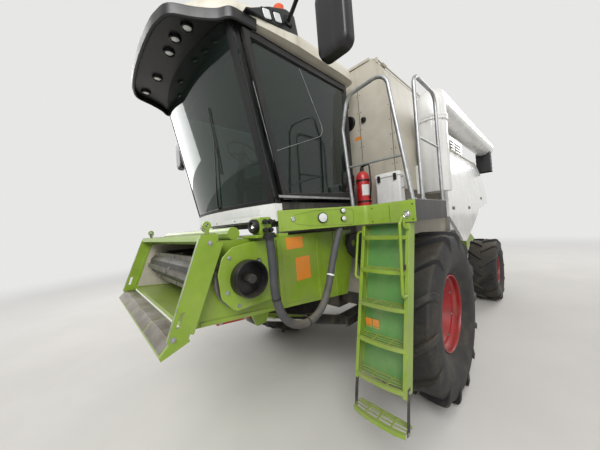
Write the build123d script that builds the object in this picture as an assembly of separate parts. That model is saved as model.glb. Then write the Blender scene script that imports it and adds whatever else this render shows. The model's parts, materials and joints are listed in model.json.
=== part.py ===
from build123d import *
import math
import os

os.makedirs("parts", exist_ok=True)

# The model is drawn from the ground point under the front axle: x forward, y left, z up, in millimetres.
# Each piece is moved back by origin_shift when it is written, so that the origin is below the middle of the machine.

# Clearances
seat = 0.3
pin_gap = 0.4
run = 6
wide_run = 10

# Wheels
wheelbase = 3770
front_tyre_radius = 905
front_tyre_width = 680
front_wheel_y = 1307
front_rim_radius = 415
front_lugs = 14
front_lug_height = 55
rear_tyre_radius = 680
rear_tyre_width = 500
rear_wheel_y = 1330
rear_rim_radius = 330
rear_lugs = 12
rear_lug_height = 42
rim_sheet = 14
lug_bar = 0.075
lug_lean = 0.42
lug_root = 12

# Front axle
final_drive_face = 940
final_drive_radius = 250
final_drive_depth = 150
front_stub_radius = 62
front_beam_height = 200
front_beam_depth = 220

# Rear axle
kingpin_y = 950
kingpin_radius = 30
kingpin_boss_radius = 60
rear_beam_height = 180
rear_beam_depth = 160
knuckle_plate_in = 66
knuckle_plate = 30
knuckle_ear = 40
rear_stub_radius = 45
steer_arm = 210
steer_arm_drop = 70
tie_rod_radius = 20

# Frame rails
rail_y_in = 785
rail_y_out = 885
rail_bottom = 1420
rail_top = 1600
rail_front = 540
rail_rear = -4460

# Threshing body
body_half_width = 780
body_front = 540
body_top = 2000
body_rear = -3060

# Feeder house
feeder_pivot_x = 800
feeder_pivot_z = 1760
feeder_half_width = 850
feeder_sheet = 20
feeder_shaft_radius = 35
frame_overhang = 75
frame_half_width = feeder_half_width + frame_overhang
frame_lip_x = 2662
header_shaft_x = 2115
header_shaft_z = 1668
header_shaft_radius = 30
header_shoulder = 38

# Lift cylinders
lift_y = 550
lift_base_x = 610
lift_base_z = 780
lift_eye_x = 1850
lift_eye_z = 1230
lift_pin_radius = 25
lift_barrel_radius = 58
lift_rod_radius = 36
lift_barrel_length = 665
lift_rod_length = 703

# Grain tank
tank_front = 420
tank_rear = -1850
tank_half_width = 1320
tank_sheet = 12
tank_rim_z = 3810
tank_rim_half = 1085
cover_sheet = 30

# Engine bay and rear hood
bay_rear = -3050
bay_half_width = 1180
bay_top = 3480
hood_half_width = 850
hood_rear = -4950
hood_sheet = 20
chopper_front = -4560
chopper_rear = -5350
rear_reach = 5900

# Side panels
panel_front = -260
panel_rear = -2880
panel_sheet = 35
panel_top_y = tank_half_width + 95
panel_belly_y = panel_top_y + 135
panel_foot_y = panel_top_y + 85
panel_top_z = 2900

# Unloading auger
auger_x = -60
auger_out = 170
auger_y = tank_half_width + auger_out
auger_z = 3300
auger_radius = 155
auger_bend = 210
auger_end = -3480
turret_top = 3060
spout_bottom = 2800

# Platform
deck_top = 2130
deck_sheet = 30
deck_front = 1000
deck_rear = 180
deck_left = 1640
deck_inner = 858
fascia_bottom = 1955

# Cab
cab_floor = 2200
cab_bottom = 2010
cab_rear = 620
cab_half_width = 835
cab_glass_x = 1753
cab_glass_bow = 130
cab_glass_sheet = 12
cab_lean = 0.21
cab_header = 3500
cab_roof_bottom = 3560
cab_pillar = 62
roof_height = 270
roof_top = cab_roof_bottom + roof_height
roof_half_width = 940
roof_rear = 560
roof_front = 2400
visor_rear = 1850
visor_reach = 2490
visor_drop = 50
visor_sheet = 40

# Ladder
ladder_right = 1167
ladder_left = 1592
ladder_top = 1945
ladder_bottom = 700
ladder_top_x = 1048
ladder_slope = 0.2365
ladder_depth = 110
ladder_steps = 5
ladder_loop_x = 1103
ladder_pivot_x = 754
ladder_pivot_y = 1414
ladder_pin_radius = 24

# Free hose
hose_radius = 30
hose_y = 1062
hose_top_x = 1225
hose_top_z = 1940
hose_end_x = 2004
hose_end_z = 1930
hose_sides = 8


# Shapes that are used again
def box(x0, x1, y0, y1, z0, z1):
    return Pos((x0 + x1) / 2, (y0 + y1) / 2, (z0 + z1) / 2) * Box(x1 - x0, y1 - y0, z1 - z0)


def side_prism(points, y0, y1):
    # points: x, z
    face = make_face(Polyline(*[(x, y0, z) for x, z in points], close=True))
    return extrude(face, amount=y1 - y0, dir=(0, 1, 0))


def cross_prism(points, x0, x1):
    # points: y, z
    face = make_face(Polyline(*[(x0, y, z) for y, z in points], close=True))
    return extrude(face, amount=x1 - x0, dir=(1, 0, 0))


def plan_prism(points, z0, z1):
    # points: x, y
    face = make_face(Polyline(*[(x, y, z0) for x, y in points], close=True))
    return extrude(face, amount=z1 - z0, dir=(0, 0, 1))


def rod(start, end, radius):
    line = Vector(*end) - Vector(*start)
    return Solid.make_cylinder(radius, line.length, Plane(origin=start, z_dir=line))


def flat_rod(start, end, radius, sides):
    line = Vector(*end) - Vector(*start)
    plane = Plane(origin=start, z_dir=line)
    return extrude(plane * RegularPolygon(radius, sides), amount=line.length, dir=plane.z_dir)


def bent_bar(points, radius, cut, sides):
    # each corner is cut off once, at this distance from it
    path = [Vector(*points[0])]
    for before, corner, after in zip(points, points[1:], points[2:]):
        corner = Vector(*corner)
        path.append(corner + (Vector(*before) - corner).normalized() * cut)
        path.append(corner + (Vector(*after) - corner).normalized() * cut)
    path.append(Vector(*points[-1]))
    line = Polyline(*path)
    section = Plane(origin=path[0], z_dir=line % 0) * RegularPolygon(radius, sides)
    return sweep(section, path=line, transition=Transition.RIGHT)


def easy_bore(pin_radius):
    # eight flats that stay clear of a turning pin
    return (pin_radius + pin_gap) / math.cos(math.pi / 8) + 0.2


def pin_bore(start, end, pin_radius, fitted):
    # one lug of a row fits its pin, the others clear it
    return rod(start, end, pin_radius + pin_gap) if fitted else flat_rod(start, end, easy_bore(pin_radius), 8)


def turned_flats(points, sides):
    # points: radius, y
    rings = [[Vector(r * math.cos(a), y, r * math.sin(a)) for r, y in points]
             for a in (2 * math.pi * i / sides for i in range(sides))]
    faces = []
    for ring_now, following in zip(rings, rings[1:] + rings[:1]):
        for k in range(len(points)):
            m = (k + 1) % len(points)
            faces.append(Face(Wire.make_polygon([ring_now[k], ring_now[m], following[m], following[k]])))
    return Solid(Shell(faces))


def both(shape):
    return shape + mirror(shape, about=Plane.XZ)


nodes = {}

# Free hose bundle from the fascia down and up to the multicoupler: x, z at y = hose_y
hose_route = [(hose_top_x, hose_top_z), (1330, 1768), (1440, 1458), (1556, 1292), (1750, 1244), (1925, 1335),
              (1998, 1520), (1990, 1740), (hose_end_x, hose_end_z)]


def gland(end, inner, length):
    # a collar that continues the hose's line past its end
    out = (Vector(end[0], hose_y, end[1]) - Vector(inner[0], hose_y, inner[1])).normalized()
    start = Vector(end[0], hose_y, end[1])
    return flat_rod(start, start + out * length, hose_radius + 9, hose_sides)


# Tyres, rims: their flats are as many as the lugs of both rows
def tyre(radius, width, rim_radius, lug_height, lugs):
    half = width / 2
    root = radius - lug_height
    bead = 0.36 * width
    shoulder = 0.44 * width
    belly = rim_radius + 0.55 * (root - rim_radius)
    carcass = turned_flats([(rim_radius, -bead), (belly, -half), (root, -shoulder),
                            (root, shoulder), (belly, half), (rim_radius, bead)], 2 * lugs)
    bar = lug_bar * radius
    lean = lug_lean * width
    outline = [(-10, -(lean + bar) / 2), (half, (lean - bar) / 2), (half, (lean + bar) / 2), (-10, (bar - lean) / 2)]
    lug_foot = root - lug_root
    lug_top = math.sqrt(radius ** 2 - ((lean + bar) / 2) ** 2)
    lug_face = make_face(Polyline(*[(lug_foot, y, z) for y, z in outline], close=True))
    lug = extrude(lug_face, amount=lug_top - lug_foot, dir=(1, 0, 0))
    pitch = 360 / lugs
    left = [Rot(0, -i * pitch, 0) * lug for i in range(lugs)]
    right = [Rot(0, -(i + 0.5) * pitch, 0) * mirror(lug, about=Plane.XZ) for i in range(lugs)]
    return Rot(0, pitch / 4, 0) * carcass.fuse(*left, *right)


def rim(width, rim_radius, lugs, hub_radius, hub_out, hub_in, bore, bore_end, dish_rim_y, dish_y):
    edge = 0.36 * width + rim_sheet
    outer = rim_radius - seat
    inner = outer - rim_sheet
    sheet = 1.6 * rim_sheet
    dish = 2 * hub_radius
    well = turned_flats([(inner, -edge), (outer, -edge), (outer, edge), (inner, edge), (inner, dish_rim_y),
                         (dish, dish_y), (hub_radius / 2, dish_y), (hub_radius / 2, dish_y - sheet),
                         (dish, dish_y - sheet), (inner, dish_rim_y - sheet)], 2 * lugs)
    hub = flat_rod((0, hub_in, 0), (0, hub_out, 0), hub_radius, 16) - rod((0, hub_in, 0), (0, bore_end, 0), bore)
    return Rot(0, 90 / lugs, 0) * well.fuse(hub)


front_tyre = tyre(front_tyre_radius, front_tyre_width, front_rim_radius, front_lug_height, front_lugs)
rear_tyre = tyre(rear_tyre_radius, rear_tyre_width, rear_rim_radius, rear_lug_height, rear_lugs)
front_hub_in = final_drive_face + run - front_wheel_y
rear_hub_in = kingpin_y + knuckle_plate_in + knuckle_plate + run - rear_wheel_y
front_rim = rim(front_tyre_width, front_rim_radius, front_lugs, 130, 130, front_hub_in, front_stub_radius + pin_gap,
                100, 170, 60)
rear_rim = rim(rear_tyre_width, rear_rim_radius, rear_lugs, 100, 110, rear_hub_in, rear_stub_radius + pin_gap,
               80, 120, 40)

# The tyres stand on a pair of lug tips, a little below the full radius
front_axle_z = -front_tyre.bounding_box().min.Z
rear_axle_z = -rear_tyre.bounding_box().min.Z

# name, tyre, rim, x, y, z
wheels = [
    ("front", front_tyre, front_rim, 0, front_wheel_y, front_axle_z),
    ("rear", rear_tyre, rear_rim, -wheelbase, rear_wheel_y, rear_axle_z),
]
for name, tyre_shape, rim_shape, x, y, z in wheels:
    for part, shape in (("tyre", tyre_shape), ("rim", rim_shape)):
        left = Pos(x, y, z) * shape
        nodes[f"{part}_{name}_left"] = left
        nodes[f"{part}_{name}_right"] = mirror(left, about=Plane.XZ)

# Front axle with final drives, legs to the rails and brackets for the lift cylinders
beam_top = front_axle_z + front_beam_height / 2
beam_front = front_beam_depth / 2
drive = flat_rod((0, final_drive_face - final_drive_depth, front_axle_z), (0, final_drive_face, front_axle_z),
                 final_drive_radius, 16)
drive = drive.fuse(
    flat_rod((0, final_drive_face, front_axle_z), (0, front_wheel_y + 90, front_axle_z), front_stub_radius, 12),
    box(-130, 130, final_drive_face - final_drive_depth, rail_y_out, front_axle_z, rail_bottom),
)
beam = box(-beam_front, beam_front, -final_drive_face + 20, final_drive_face - 20,
           front_axle_z - front_beam_height / 2, beam_top)
lift_ears = [box(beam_front - 10, lift_base_x + 50, y0, y0 + 22, lift_base_z - 45, lift_base_z + 50)
             for y0 in (lift_y - 85, lift_y + 63)]
lift_pin = flat_rod((lift_base_x, lift_y - 85, lift_base_z), (lift_base_x, lift_y + 85, lift_base_z),
                    lift_pin_radius, 12)
gearbox = box(-190, 200, -160, 160, front_axle_z - 170, beam_top + 20)
nodes["front_axle"] = beam.fuse(both(drive), both(lift_ears[0] + lift_ears[1] + lift_pin), gearbox)

# Rear axle beam with its centre pivot under the body
rear_z = rear_axle_z
rear_x = -wheelbase
boss = flat_rod((rear_x, kingpin_y, rear_z - rear_beam_height / 2),
                (rear_x, kingpin_y, rear_z + rear_beam_height / 2), kingpin_boss_radius, 12)
boss_bore = Pos(rear_x, kingpin_y, rear_z) * Cylinder(kingpin_radius + pin_gap, 2 * rear_beam_height)
arm_half = rear_beam_depth / 2
rear_beam = plan_prism(
    [(rear_x - arm_half, -kingpin_y + 120), (rear_x - 45, -kingpin_y + 40), (rear_x - 45, -kingpin_y),
     (rear_x + 45, -kingpin_y), (rear_x + 45, -kingpin_y + 40), (rear_x + arm_half, -kingpin_y + 120),
     (rear_x + arm_half, kingpin_y - 120), (rear_x + 45, kingpin_y - 40), (rear_x + 45, kingpin_y),
     (rear_x - 45, kingpin_y), (rear_x - 45, kingpin_y - 40), (rear_x - arm_half, kingpin_y - 120)],
    rear_z - rear_beam_height / 2, rear_z + rear_beam_height / 2,
)
pivot_z = rear_z + rear_beam_height / 2
pivot_post = side_prism(
    [(rear_x - 80, pivot_z - 10), (rear_x + 80, pivot_z - 10), (rear_x + 220, rail_bottom),
     (rear_x - 220, rail_bottom)],
    -150, 150,
)
pivot_beam = box(rear_x - 220, rear_x + 220, -rail_y_out, rail_y_out, rail_bottom - 40, rail_bottom)
nodes["rear_axle_beam"] = (rear_beam + both(boss)).fuse(pivot_post, pivot_beam) - both(boss_bore)

# Knuckles: a fork over the beam's boss, its kingpin, the stub axle and the steering arm
ear_z = rear_beam_height / 2 + 5
knuckle = box(-55, 55, knuckle_plate_in, knuckle_plate_in + knuckle_plate, -ear_z - knuckle_ear,
              ear_z + knuckle_ear)
for side in (-1, 1):
    z0, z1 = sorted((side * ear_z, side * (ear_z + knuckle_ear)))
    knuckle += flat_rod((0, 0, z0), (0, 0, z1), 58, 12)
    knuckle += box(-55, 55, 0, knuckle_plate_in + 1, z0, z1)
knuckle += flat_rod((0, 0, -ear_z - 1), (0, 0, ear_z + 1), kingpin_radius, 12)
rear_stub_end = rear_wheel_y - kingpin_y + 70
knuckle += flat_rod((0, knuckle_plate_in, 0), (0, rear_stub_end, 0), rear_stub_radius, 12)
arm_z = -ear_z - knuckle_ear
knuckle += box(-steer_arm - 30, 20, -30, 30, arm_z, arm_z + knuckle_ear)
knuckle += flat_rod((-steer_arm, 0, arm_z - steer_arm_drop), (-steer_arm, 0, arm_z + 1), 14, 8)
knuckle = Pos(rear_x, kingpin_y, rear_z) * knuckle
nodes["knuckle_left"] = knuckle
nodes["knuckle_right"] = mirror(knuckle, about=Plane.XZ)

# Tie rod between the two steering arms
tie_x = rear_x - steer_arm
tie_z = rear_z + arm_z - 35
tie_eye = flat_rod((tie_x, kingpin_y, tie_z - 20), (tie_x, kingpin_y, tie_z + 20), 30, 12)
tie_bar = flat_rod((tie_x, -kingpin_y + 25, tie_z), (tie_x, kingpin_y - 25, tie_z), tie_rod_radius, 8)
tie_pin_radius = 14
tie_bar = tie_bar.fuse(both(tie_eye)) - Pos(tie_x, kingpin_y, tie_z) * Cylinder(tie_pin_radius + pin_gap, 60)
tie_bar -= flat_rod((tie_x, -kingpin_y, tie_z - 30), (tie_x, -kingpin_y, tie_z + 30), easy_bore(tie_pin_radius), 8)
nodes["tie_rod"] = tie_bar

# Frame rails with the feeder's pivot plates and the rear hitch
rail = box(rail_rear, rail_front, rail_y_in, rail_y_out, rail_bottom, rail_top)
pivot_plate = side_prism(
    [(rail_front - 160, rail_bottom), (rail_front, rail_bottom), (feeder_pivot_x + 60, feeder_pivot_z - 90),
     (feeder_pivot_x + 90, feeder_pivot_z), (feeder_pivot_x + 60, feeder_pivot_z + 90),
     (rail_front, feeder_pivot_z + 120), (rail_front - 160, rail_top)],
    feeder_half_width + wide_run, rail_y_out + 20,
)
pivot_bore = rod((feeder_pivot_x, 0, feeder_pivot_z), (feeder_pivot_x, 1000, feeder_pivot_z),
                 feeder_shaft_radius + pin_gap)
cross = box(rail_rear, rail_rear + 120, -rail_y_in, rail_y_in, rail_bottom, rail_top)
hitch = box(rail_rear - 140, rail_rear, -90, 90, rail_bottom + 20, rail_bottom + 60)
hitch -= Pos(rail_rear - 80, 0, rail_bottom + 40) * Cylinder(20, 100)
nodes["chassis_frame"] = both((rail + pivot_plate) - pivot_bore).fuse(cross, hitch)

# Threshing body, solid: nothing shows of its inside
body_outline = [
    (body_front, 1130), (body_front, body_top), (body_rear, body_top), (body_rear, 1430), (-2600, 1100),
    (-2350, 720), (-1500, 620), (-700, 720), (-420, 1080), (330, 1080),
]
body_ledge = box(body_rear + 60, rail_front - 180, body_half_width - 5, rail_y_out - 15, rail_top, rail_top + 12)
nodes["threshing_body"] = side_prism(body_outline, -body_half_width, body_half_width).fuse(both(body_ledge))

# Feeder house, drawn raised
# x, z of the side sheet
feeder_side = [
    (760, 1905), (2290, 1934), (2505, 1425), (900, 1235), (770, 1600),
]
feeder_outer = side_prism(feeder_side, -feeder_half_width, feeder_half_width)
feeder_cavity = side_prism(
    [(700, 1885), (2330, 1913), (2560, 1455), (910, 1257), (700, 1600)],
    -feeder_half_width + feeder_sheet, feeder_half_width - feeder_sheet,
)
feeder_stub = flat_rod((feeder_pivot_x, feeder_half_width - 5, feeder_pivot_z),
                       (feeder_pivot_x, rail_y_out + 15, feeder_pivot_z), feeder_shaft_radius, 12)
eye_ears = [side_prism([(lift_eye_x - 130, 1350), (lift_eye_x + 130, 1395), (lift_eye_x + 45, lift_eye_z - 45),
                        (lift_eye_x - 45, lift_eye_z - 45)], y0, y0 + 22) for y0 in (lift_y - 85, lift_y + 63)]
eye_pin = flat_rod((lift_eye_x, lift_y - 85, lift_eye_z), (lift_eye_x, lift_y + 85, lift_eye_z), lift_pin_radius, 12)
cross_tube = flat_rod((2150, -feeder_half_width, 1975), (2150, feeder_half_width, 1975), 45, 12)
feeder = (feeder_outer - feeder_cavity).fuse(
    both(feeder_stub), both(eye_ears[0] + eye_ears[1] + eye_pin), cross_tube,
)
nodes["feeder_house"] = feeder

# Front frame that a header hangs on: side plates, top bar with hooks, lower lip
frame_side = [(2300, 1962), (2412, 1962), (2620, 1425), (2600, 1395), (2515, 1395)]
frame_slot = [(2520, 1560), (2545, 1560), (2572, 1482), (2547, 1482)]
frame_plate = side_prism(frame_side, frame_half_width - 25, frame_half_width)
frame_plate -= side_prism(frame_slot, frame_half_width - 30, frame_half_width + 5)
frame_top = side_prism([(2296, 1938), (2296, 1985), (2400, 1985), (2412, 1945)], -frame_half_width, frame_half_width)
frame_lip = side_prism([(2510, 1412), (2505, 1390), (frame_lip_x - 7, 1340), (frame_lip_x, 1360), (2600, 1420)],
                       -frame_half_width, frame_half_width)
hook_x, hook_z, hook_y = 2329, 2040, frame_half_width - 102
hook = box(hook_x - 12, hook_x + 12, hook_y, hook_y + 24, 1984, hook_z)
hook += flat_rod((hook_x, hook_y, hook_z), (hook_x, hook_y + 24, hook_z), 28, 12)
hook -= flat_rod((hook_x, hook_y - 5, hook_z + 2), (hook_x, hook_y + 30, hook_z + 2), 11, 8)
frame_web = side_prism([(2262, 1930), (2330, 1937), (2530, 1440), (2482, 1420)], feeder_half_width + seat,
                       frame_half_width)
nodes["feeder_front_frame"] = frame_top.fuse(frame_lip, both(frame_plate + hook + frame_web))

# Feeder chain: front drum, three strands and slats
strand_y = (-560, 0, 560)
chain_drum = flat_rod((2240, -feeder_half_width + 40, 1680), (2240, feeder_half_width - 40, 1680), 130, 12)
drum_shaft_end = feeder_half_width - feeder_sheet - seat
drum_shaft = flat_rod((2240, -drum_shaft_end, 1680), (2240, drum_shaft_end, 1680), feeder_shaft_radius, 8)
strands = [side_prism([(900, 1420), (2240, 1532), (2395, 1680), (2240, 1828), (900, 1790), (900, 1755), (2240, 1795),
                       (2240, 1565), (900, 1455)], y - 20, y + 20) for y in strand_y]
slats = []
for i in range(7):
    slats.append(box(960 + 185 * i, 1000 + 185 * i, -790, 790, 1395 + 15 * i, 1455 + 15 * i))
nodes["feeder_chain"] = chain_drum.fuse(drum_shaft, *strands, *slats)

# Drive guard on the feeder's left side: a flat cover plate before the belt pulley, and the header shaft's cup
guard_in = feeder_half_width + seat
guard_out = frame_half_width
guard_outline = [(2316, 1722), (2281, 1828), (2208, 1886), (2088, 1905), (1881, 1915), (1881, 1473), (2216, 1466),
                 (2303, 1568)]
guard = side_prism(guard_outline, guard_out - 12, guard_out)
for x0, z0 in ((1900, 1490), (1900, 1850), (2170, 1480)):
    guard += box(x0, x0 + 36, guard_in, guard_out - 11, z0, z0 + 36)


def on_shaft(y0, y1, radius, sides):
    return flat_rod((header_shaft_x, y0, header_shaft_z), (header_shaft_x, y1, header_shaft_z), radius, sides)


cup_radius = 125
cup_depth = 75
pulley_radius = 212
guard += on_shaft(guard_out - 12, guard_out + cup_depth, cup_radius, 18)
guard -= on_shaft(guard_out - 20, guard_out + cup_depth + 5, cup_radius - 12, 18)
pulley = on_shaft(guard_in + 12, guard_in + 48, pulley_radius, 18)
pulley += on_shaft(guard_in, guard_out, header_shoulder, 18)
pulley += rod((header_shaft_x, guard_out, header_shaft_z), (header_shaft_x, guard_out + cup_depth, header_shaft_z),
              header_shaft_radius)
nodes["feeder_drive_guard"] = [guard, pulley]

# Multicoupler on its bracket beside the feeder
def feeder_roof(x):
    return 1905 + (x - 760) * (1934 - 1905) / (2290 - 760)


coupler = side_prism([(1880, feeder_roof(1880) + seat), (2050, feeder_roof(2050) + seat), (2050, 1950), (1880, 1950)],
                     feeder_half_width - 60, hose_y + 50)
coupler += box(1890, 1990, feeder_half_width - 20, feeder_half_width + 90, 1949, 2075)
coupler -= flat_rod((hose_end_x, hose_y, 1900), (hose_end_x, hose_y, hose_end_z + 4), hose_radius + 16, hose_sides)
coupler += gland(hose_route[-1], hose_route[-2], 30)
nodes["multicoupler"] = coupler

# Safety strut folded up under the feeder
def feeder_floor(x):
    return 1235 + (x - 900) * (1425 - 1235) / (2505 - 900)


strut = side_prism([(1980, feeder_floor(1980) - 75), (2250, feeder_floor(2250) - 75), (2250, feeder_floor(2250) - 40),
                    (1980, feeder_floor(1980) - 40)], 640, 680)
for x0 in (2000, 2200):
    strut += side_prism([(x0, feeder_floor(x0) - 60), (x0 + 40, feeder_floor(x0 + 40) - 60),
                         (x0 + 40, feeder_floor(x0 + 40) - seat), (x0, feeder_floor(x0) - seat)], 645, 675)
nodes["safety_strut"] = strut

# Lift cylinders: barrel on the axle's pin, rod to the pin under the feeder
lift_base = Vector(lift_base_x, lift_y, lift_base_z)
lift_eye = Vector(lift_eye_x, lift_y, lift_eye_z)
lift_line = (lift_eye - lift_base).normalized()
lift_plane = Plane(origin=lift_base, x_dir=(0, 1, 0), z_dir=lift_line)
barrel = flat_rod((0, 0, 40), (0, 0, lift_barrel_length), lift_barrel_radius, 16)
barrel += flat_rod((-62, 0, 0), (62, 0, 0), 48, 12)
barrel -= Rot(0, 90, 0) * Cylinder(lift_pin_radius + pin_gap, 130)
barrel -= flat_rod((0, 0, 56), (0, 0, lift_barrel_length + 1), lift_rod_radius + pin_gap, 16)
lift_length = (lift_eye - lift_base).length
eye_clear = 13
lift_rod = flat_rod((0, 0, lift_length - lift_rod_length), (0, 0, lift_length - 40), lift_rod_radius, 16)
lift_rod += flat_rod((-62, 0, lift_length), (62, 0, lift_length), 62, 12)
eye_bore = (lift_pin_radius + eye_clear) / math.cos(math.pi / 12)
lift_rod -= flat_rod((-65, 0, lift_length), (65, 0, lift_length), eye_bore, 12)
for part, shape in (("lift_barrel", barrel), ("lift_rod", lift_rod)):
    left = lift_plane * shape
    nodes[f"{part}_left"] = left
    nodes[f"{part}_right"] = mirror(left, about=Plane.XZ)

# Grain tank, hollow and open at the top
# y, z of its left half
tank_half = [(700, body_top), (tank_half_width, 2300), (tank_half_width, 2600), (1210, 3620),
             (tank_rim_half, tank_rim_z)]
tank_section = tank_half + [(-y, z) for y, z in reversed(tank_half)]
tank = cross_prism(tank_section, tank_rear, tank_front)
tank_inside = tank_half_width - tank_sheet
inner_half = [(694, body_top + tank_sheet), (tank_inside, 2307), (tank_inside, 2600), (1210 - tank_sheet, 3618),
              (tank_rim_half - 20, tank_rim_z + 10)]
tank -= cross_prism(inner_half + [(-y, z) for y, z in reversed(inner_half)],
                    tank_rear + tank_sheet, tank_front - tank_sheet)
cover_hinge_y = tank_rim_half + 16
cover_hinge_z = tank_rim_z + 20
cover_pin_radius = 9
hinge_rod = flat_rod((tank_rear + 60, cover_hinge_y, cover_hinge_z), (tank_front - 60, cover_hinge_y, cover_hinge_z),
                     cover_pin_radius, 8)
for x0 in (tank_rear + 60, -740, tank_front - 90):
    hinge_rod += box(x0, x0 + 30, tank_rim_half - 30, cover_hinge_y + 12, tank_rim_z - 25, cover_hinge_z + 12)
nodes["grain_tank"] = tank + both(hinge_rod)

# Tank covers
cover_in = 4
cover_section = [(tank_rim_half - 34, tank_rim_z + seat), (cover_in, tank_rim_z + 45),
                 (cover_in, tank_rim_z + 45 + cover_sheet), (tank_rim_half - 34, tank_rim_z + cover_sheet)]
cover = cross_prism(cover_section, tank_rear - 10, tank_front + 10)
for x0 in (tank_rear + 200, -860, tank_front - 300):
    lug = box(x0, x0 + 90, tank_rim_half - 40, cover_hinge_y, tank_rim_z + 12, cover_hinge_z + 9)
    lug += flat_rod((x0, cover_hinge_y, cover_hinge_z), (x0 + 90, cover_hinge_y, cover_hinge_z), 18, 8)
    cover += lug - pin_bore((x0 - 5, cover_hinge_y, cover_hinge_z), (x0 + 95, cover_hinge_y, cover_hinge_z),
                            cover_pin_radius, x0 == -860)
nodes["tank_cover_left"] = cover
nodes["tank_cover_right"] = mirror(cover, about=Plane.XZ)

# Engine bay behind the tank, the engine as one block
bay = box(bay_rear, tank_rear - wide_run, -bay_half_width, bay_half_width, body_top, bay_top)
bay -= box(bay_rear + hood_sheet, tank_rear - wide_run - hood_sheet, -bay_half_width + hood_sheet,
           bay_half_width - hood_sheet, body_top - 1, bay_top - hood_sheet)
screen_x, screen_z, screen_radius = -2430, 3080, 370
bay -= flat_rod((screen_x, -bay_half_width - 5, screen_z), (screen_x, -bay_half_width + 30, screen_z),
                screen_radius - 30, 24)
stack_x, stack_y, stack_radius = -2780, -640, 62
bay += flat_rod((stack_x, stack_y, bay_top - 5), (stack_x, stack_y, bay_top + 330), stack_radius, 12)
nodes["engine_bay"] = bay
nodes["engine_block"] = box(-2750, -2150, -450, 550, body_top, 2950)

# Radiator screen on the right side
screen_y = -bay_half_width - seat
screen = flat_rod((screen_x, screen_y, screen_z), (screen_x, screen_y - 60, screen_z), screen_radius, 24)
screen -= flat_rod((screen_x, screen_y + 1, screen_z), (screen_x, screen_y - 45, screen_z), screen_radius - 25, 24)
nodes["radiator_screen"] = screen

# Rear hood over the straw walkers, open below at its end
hood_outline = [(body_rear - seat, rail_top + 10), (body_rear - seat, 3250), (-3700, 3180), (-4400, 2880),
                (hood_rear, 2250), (hood_rear, 1480), (chopper_front - 60, 1480), (chopper_front - 60, rail_top + 10)]
hood = side_prism(hood_outline, -hood_half_width, hood_half_width)
hood_inner = [(body_rear - seat - hood_sheet, rail_top + 30), (body_rear - seat - hood_sheet, 3230), (-3695, 3160),
              (-4388, 2863), (hood_rear + hood_sheet, 2243), (hood_rear + hood_sheet, 1400),
              (chopper_front - 40, 1400), (chopper_front - 40, rail_top + 30)]
hood -= side_prism(hood_inner, -hood_half_width + hood_sheet, hood_half_width - hood_sheet)
nodes["rear_hood"] = hood

# Straw chopper with its knife rotor and spreading deflector
chop_top = 1480 - seat
chopper_half_width = hood_half_width - 40
chopper = side_prism([(chopper_front - 60, chop_top), (hood_rear, chop_top), (chopper_rear, 1330),
                      (-rear_reach, 1080), (-rear_reach, 1060), (chopper_rear, 1000), (chopper_front - 100, 960)],
                     -chopper_half_width, chopper_half_width)
chopper -= side_prism([(chopper_front - 80, chop_top + 10), (hood_rear + 20, chop_top + 10), (hood_rear - 10, 1455),
                       (chopper_rear, 1310), (-rear_reach - 10, 1062), (-rear_reach - 10, 900), (-5200, 900),
                       (-5200, 1020), (chopper_front - 120, 980)],
                      -chopper_half_width + hood_sheet, chopper_half_width - hood_sheet)
rotor_x, rotor_z = -4960, 1230
rotor = flat_rod((rotor_x, -chopper_half_width + hood_sheet, rotor_z),
                 (rotor_x, chopper_half_width - hood_sheet, rotor_z), 85, 12)
knife = box(-8, 8, -6, 6, 80, 190)
for i in range(8):
    for k in range(2):
        rotor += Pos(rotor_x, -700 + 200 * i, rotor_z) * Rot(0, 60 * i + 180 * k, 0) * knife
nodes["straw_chopper"] = chopper + rotor

# Side panels: gull-wing doors with a curved section
hinge_y = panel_top_y
hinge_z = panel_top_z + 20
panel_pin_radius = 14
outer_arc = ThreePointArc((panel_rear, panel_top_y + 10, panel_top_z), (panel_rear, panel_belly_y, 2250),
                          (panel_rear, panel_foot_y, 1560))
inner_arc = ThreePointArc((panel_rear, panel_foot_y - panel_sheet, 1560), (panel_rear, panel_belly_y - panel_sheet, 2250),
                          (panel_rear, panel_top_y + 10 - panel_sheet, panel_top_z))
band = make_face(Wire([
    outer_arc, Line(outer_arc @ 1, inner_arc @ 0), inner_arc, Line(inner_arc @ 1, outer_arc @ 0),
]))
panel = extrude(band, amount=panel_front - panel_rear, dir=(1, 0, 0))
# x, z of the panel's edge
panel_edge = [(panel_front, 2900), (panel_front, 1960), (-1030, 1600), (-1250, 1565), (-2050, 2040),
              (panel_rear, 2140), (panel_rear, 2900)]
panel &= side_prism(panel_edge, panel_top_y - 215, panel_top_y + 285)
for x0 in (-500, -1500, -2600):
    knuckle_lug = flat_rod((x0, hinge_y, hinge_z), (x0 - 90, hinge_y, hinge_z), 24, 8)
    knuckle_lug += box(x0 - 90, x0, hinge_y - 18, hinge_y + 8, panel_top_z - 25, hinge_z)
    panel += knuckle_lug - pin_bore((x0 + 5, hinge_y, hinge_z), (x0 - 95, hinge_y, hinge_z), panel_pin_radius,
                                    x0 == -1500)
nodes["side_panel_left"] = panel
nodes["side_panel_right"] = mirror(panel, about=Plane.XZ)

# Hinge rails of the side panels, welded to the tank on arms; the last arm stands on the engine bay
rail_bar = flat_rod((panel_front - 40, hinge_y, hinge_z), (panel_rear + 40, hinge_y, hinge_z), panel_pin_radius, 8)
# x, y where the arm starts
for x0, y0 in ((-700, tank_half_width - 32), (-1700, tank_half_width - 32), (-2800, bay_half_width)):
    rail_bar += box(x0 - 40, x0, y0, hinge_y + 12, hinge_z - 12, hinge_z + 12)
nodes["grain_tank"] += both(rail_bar)

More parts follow.
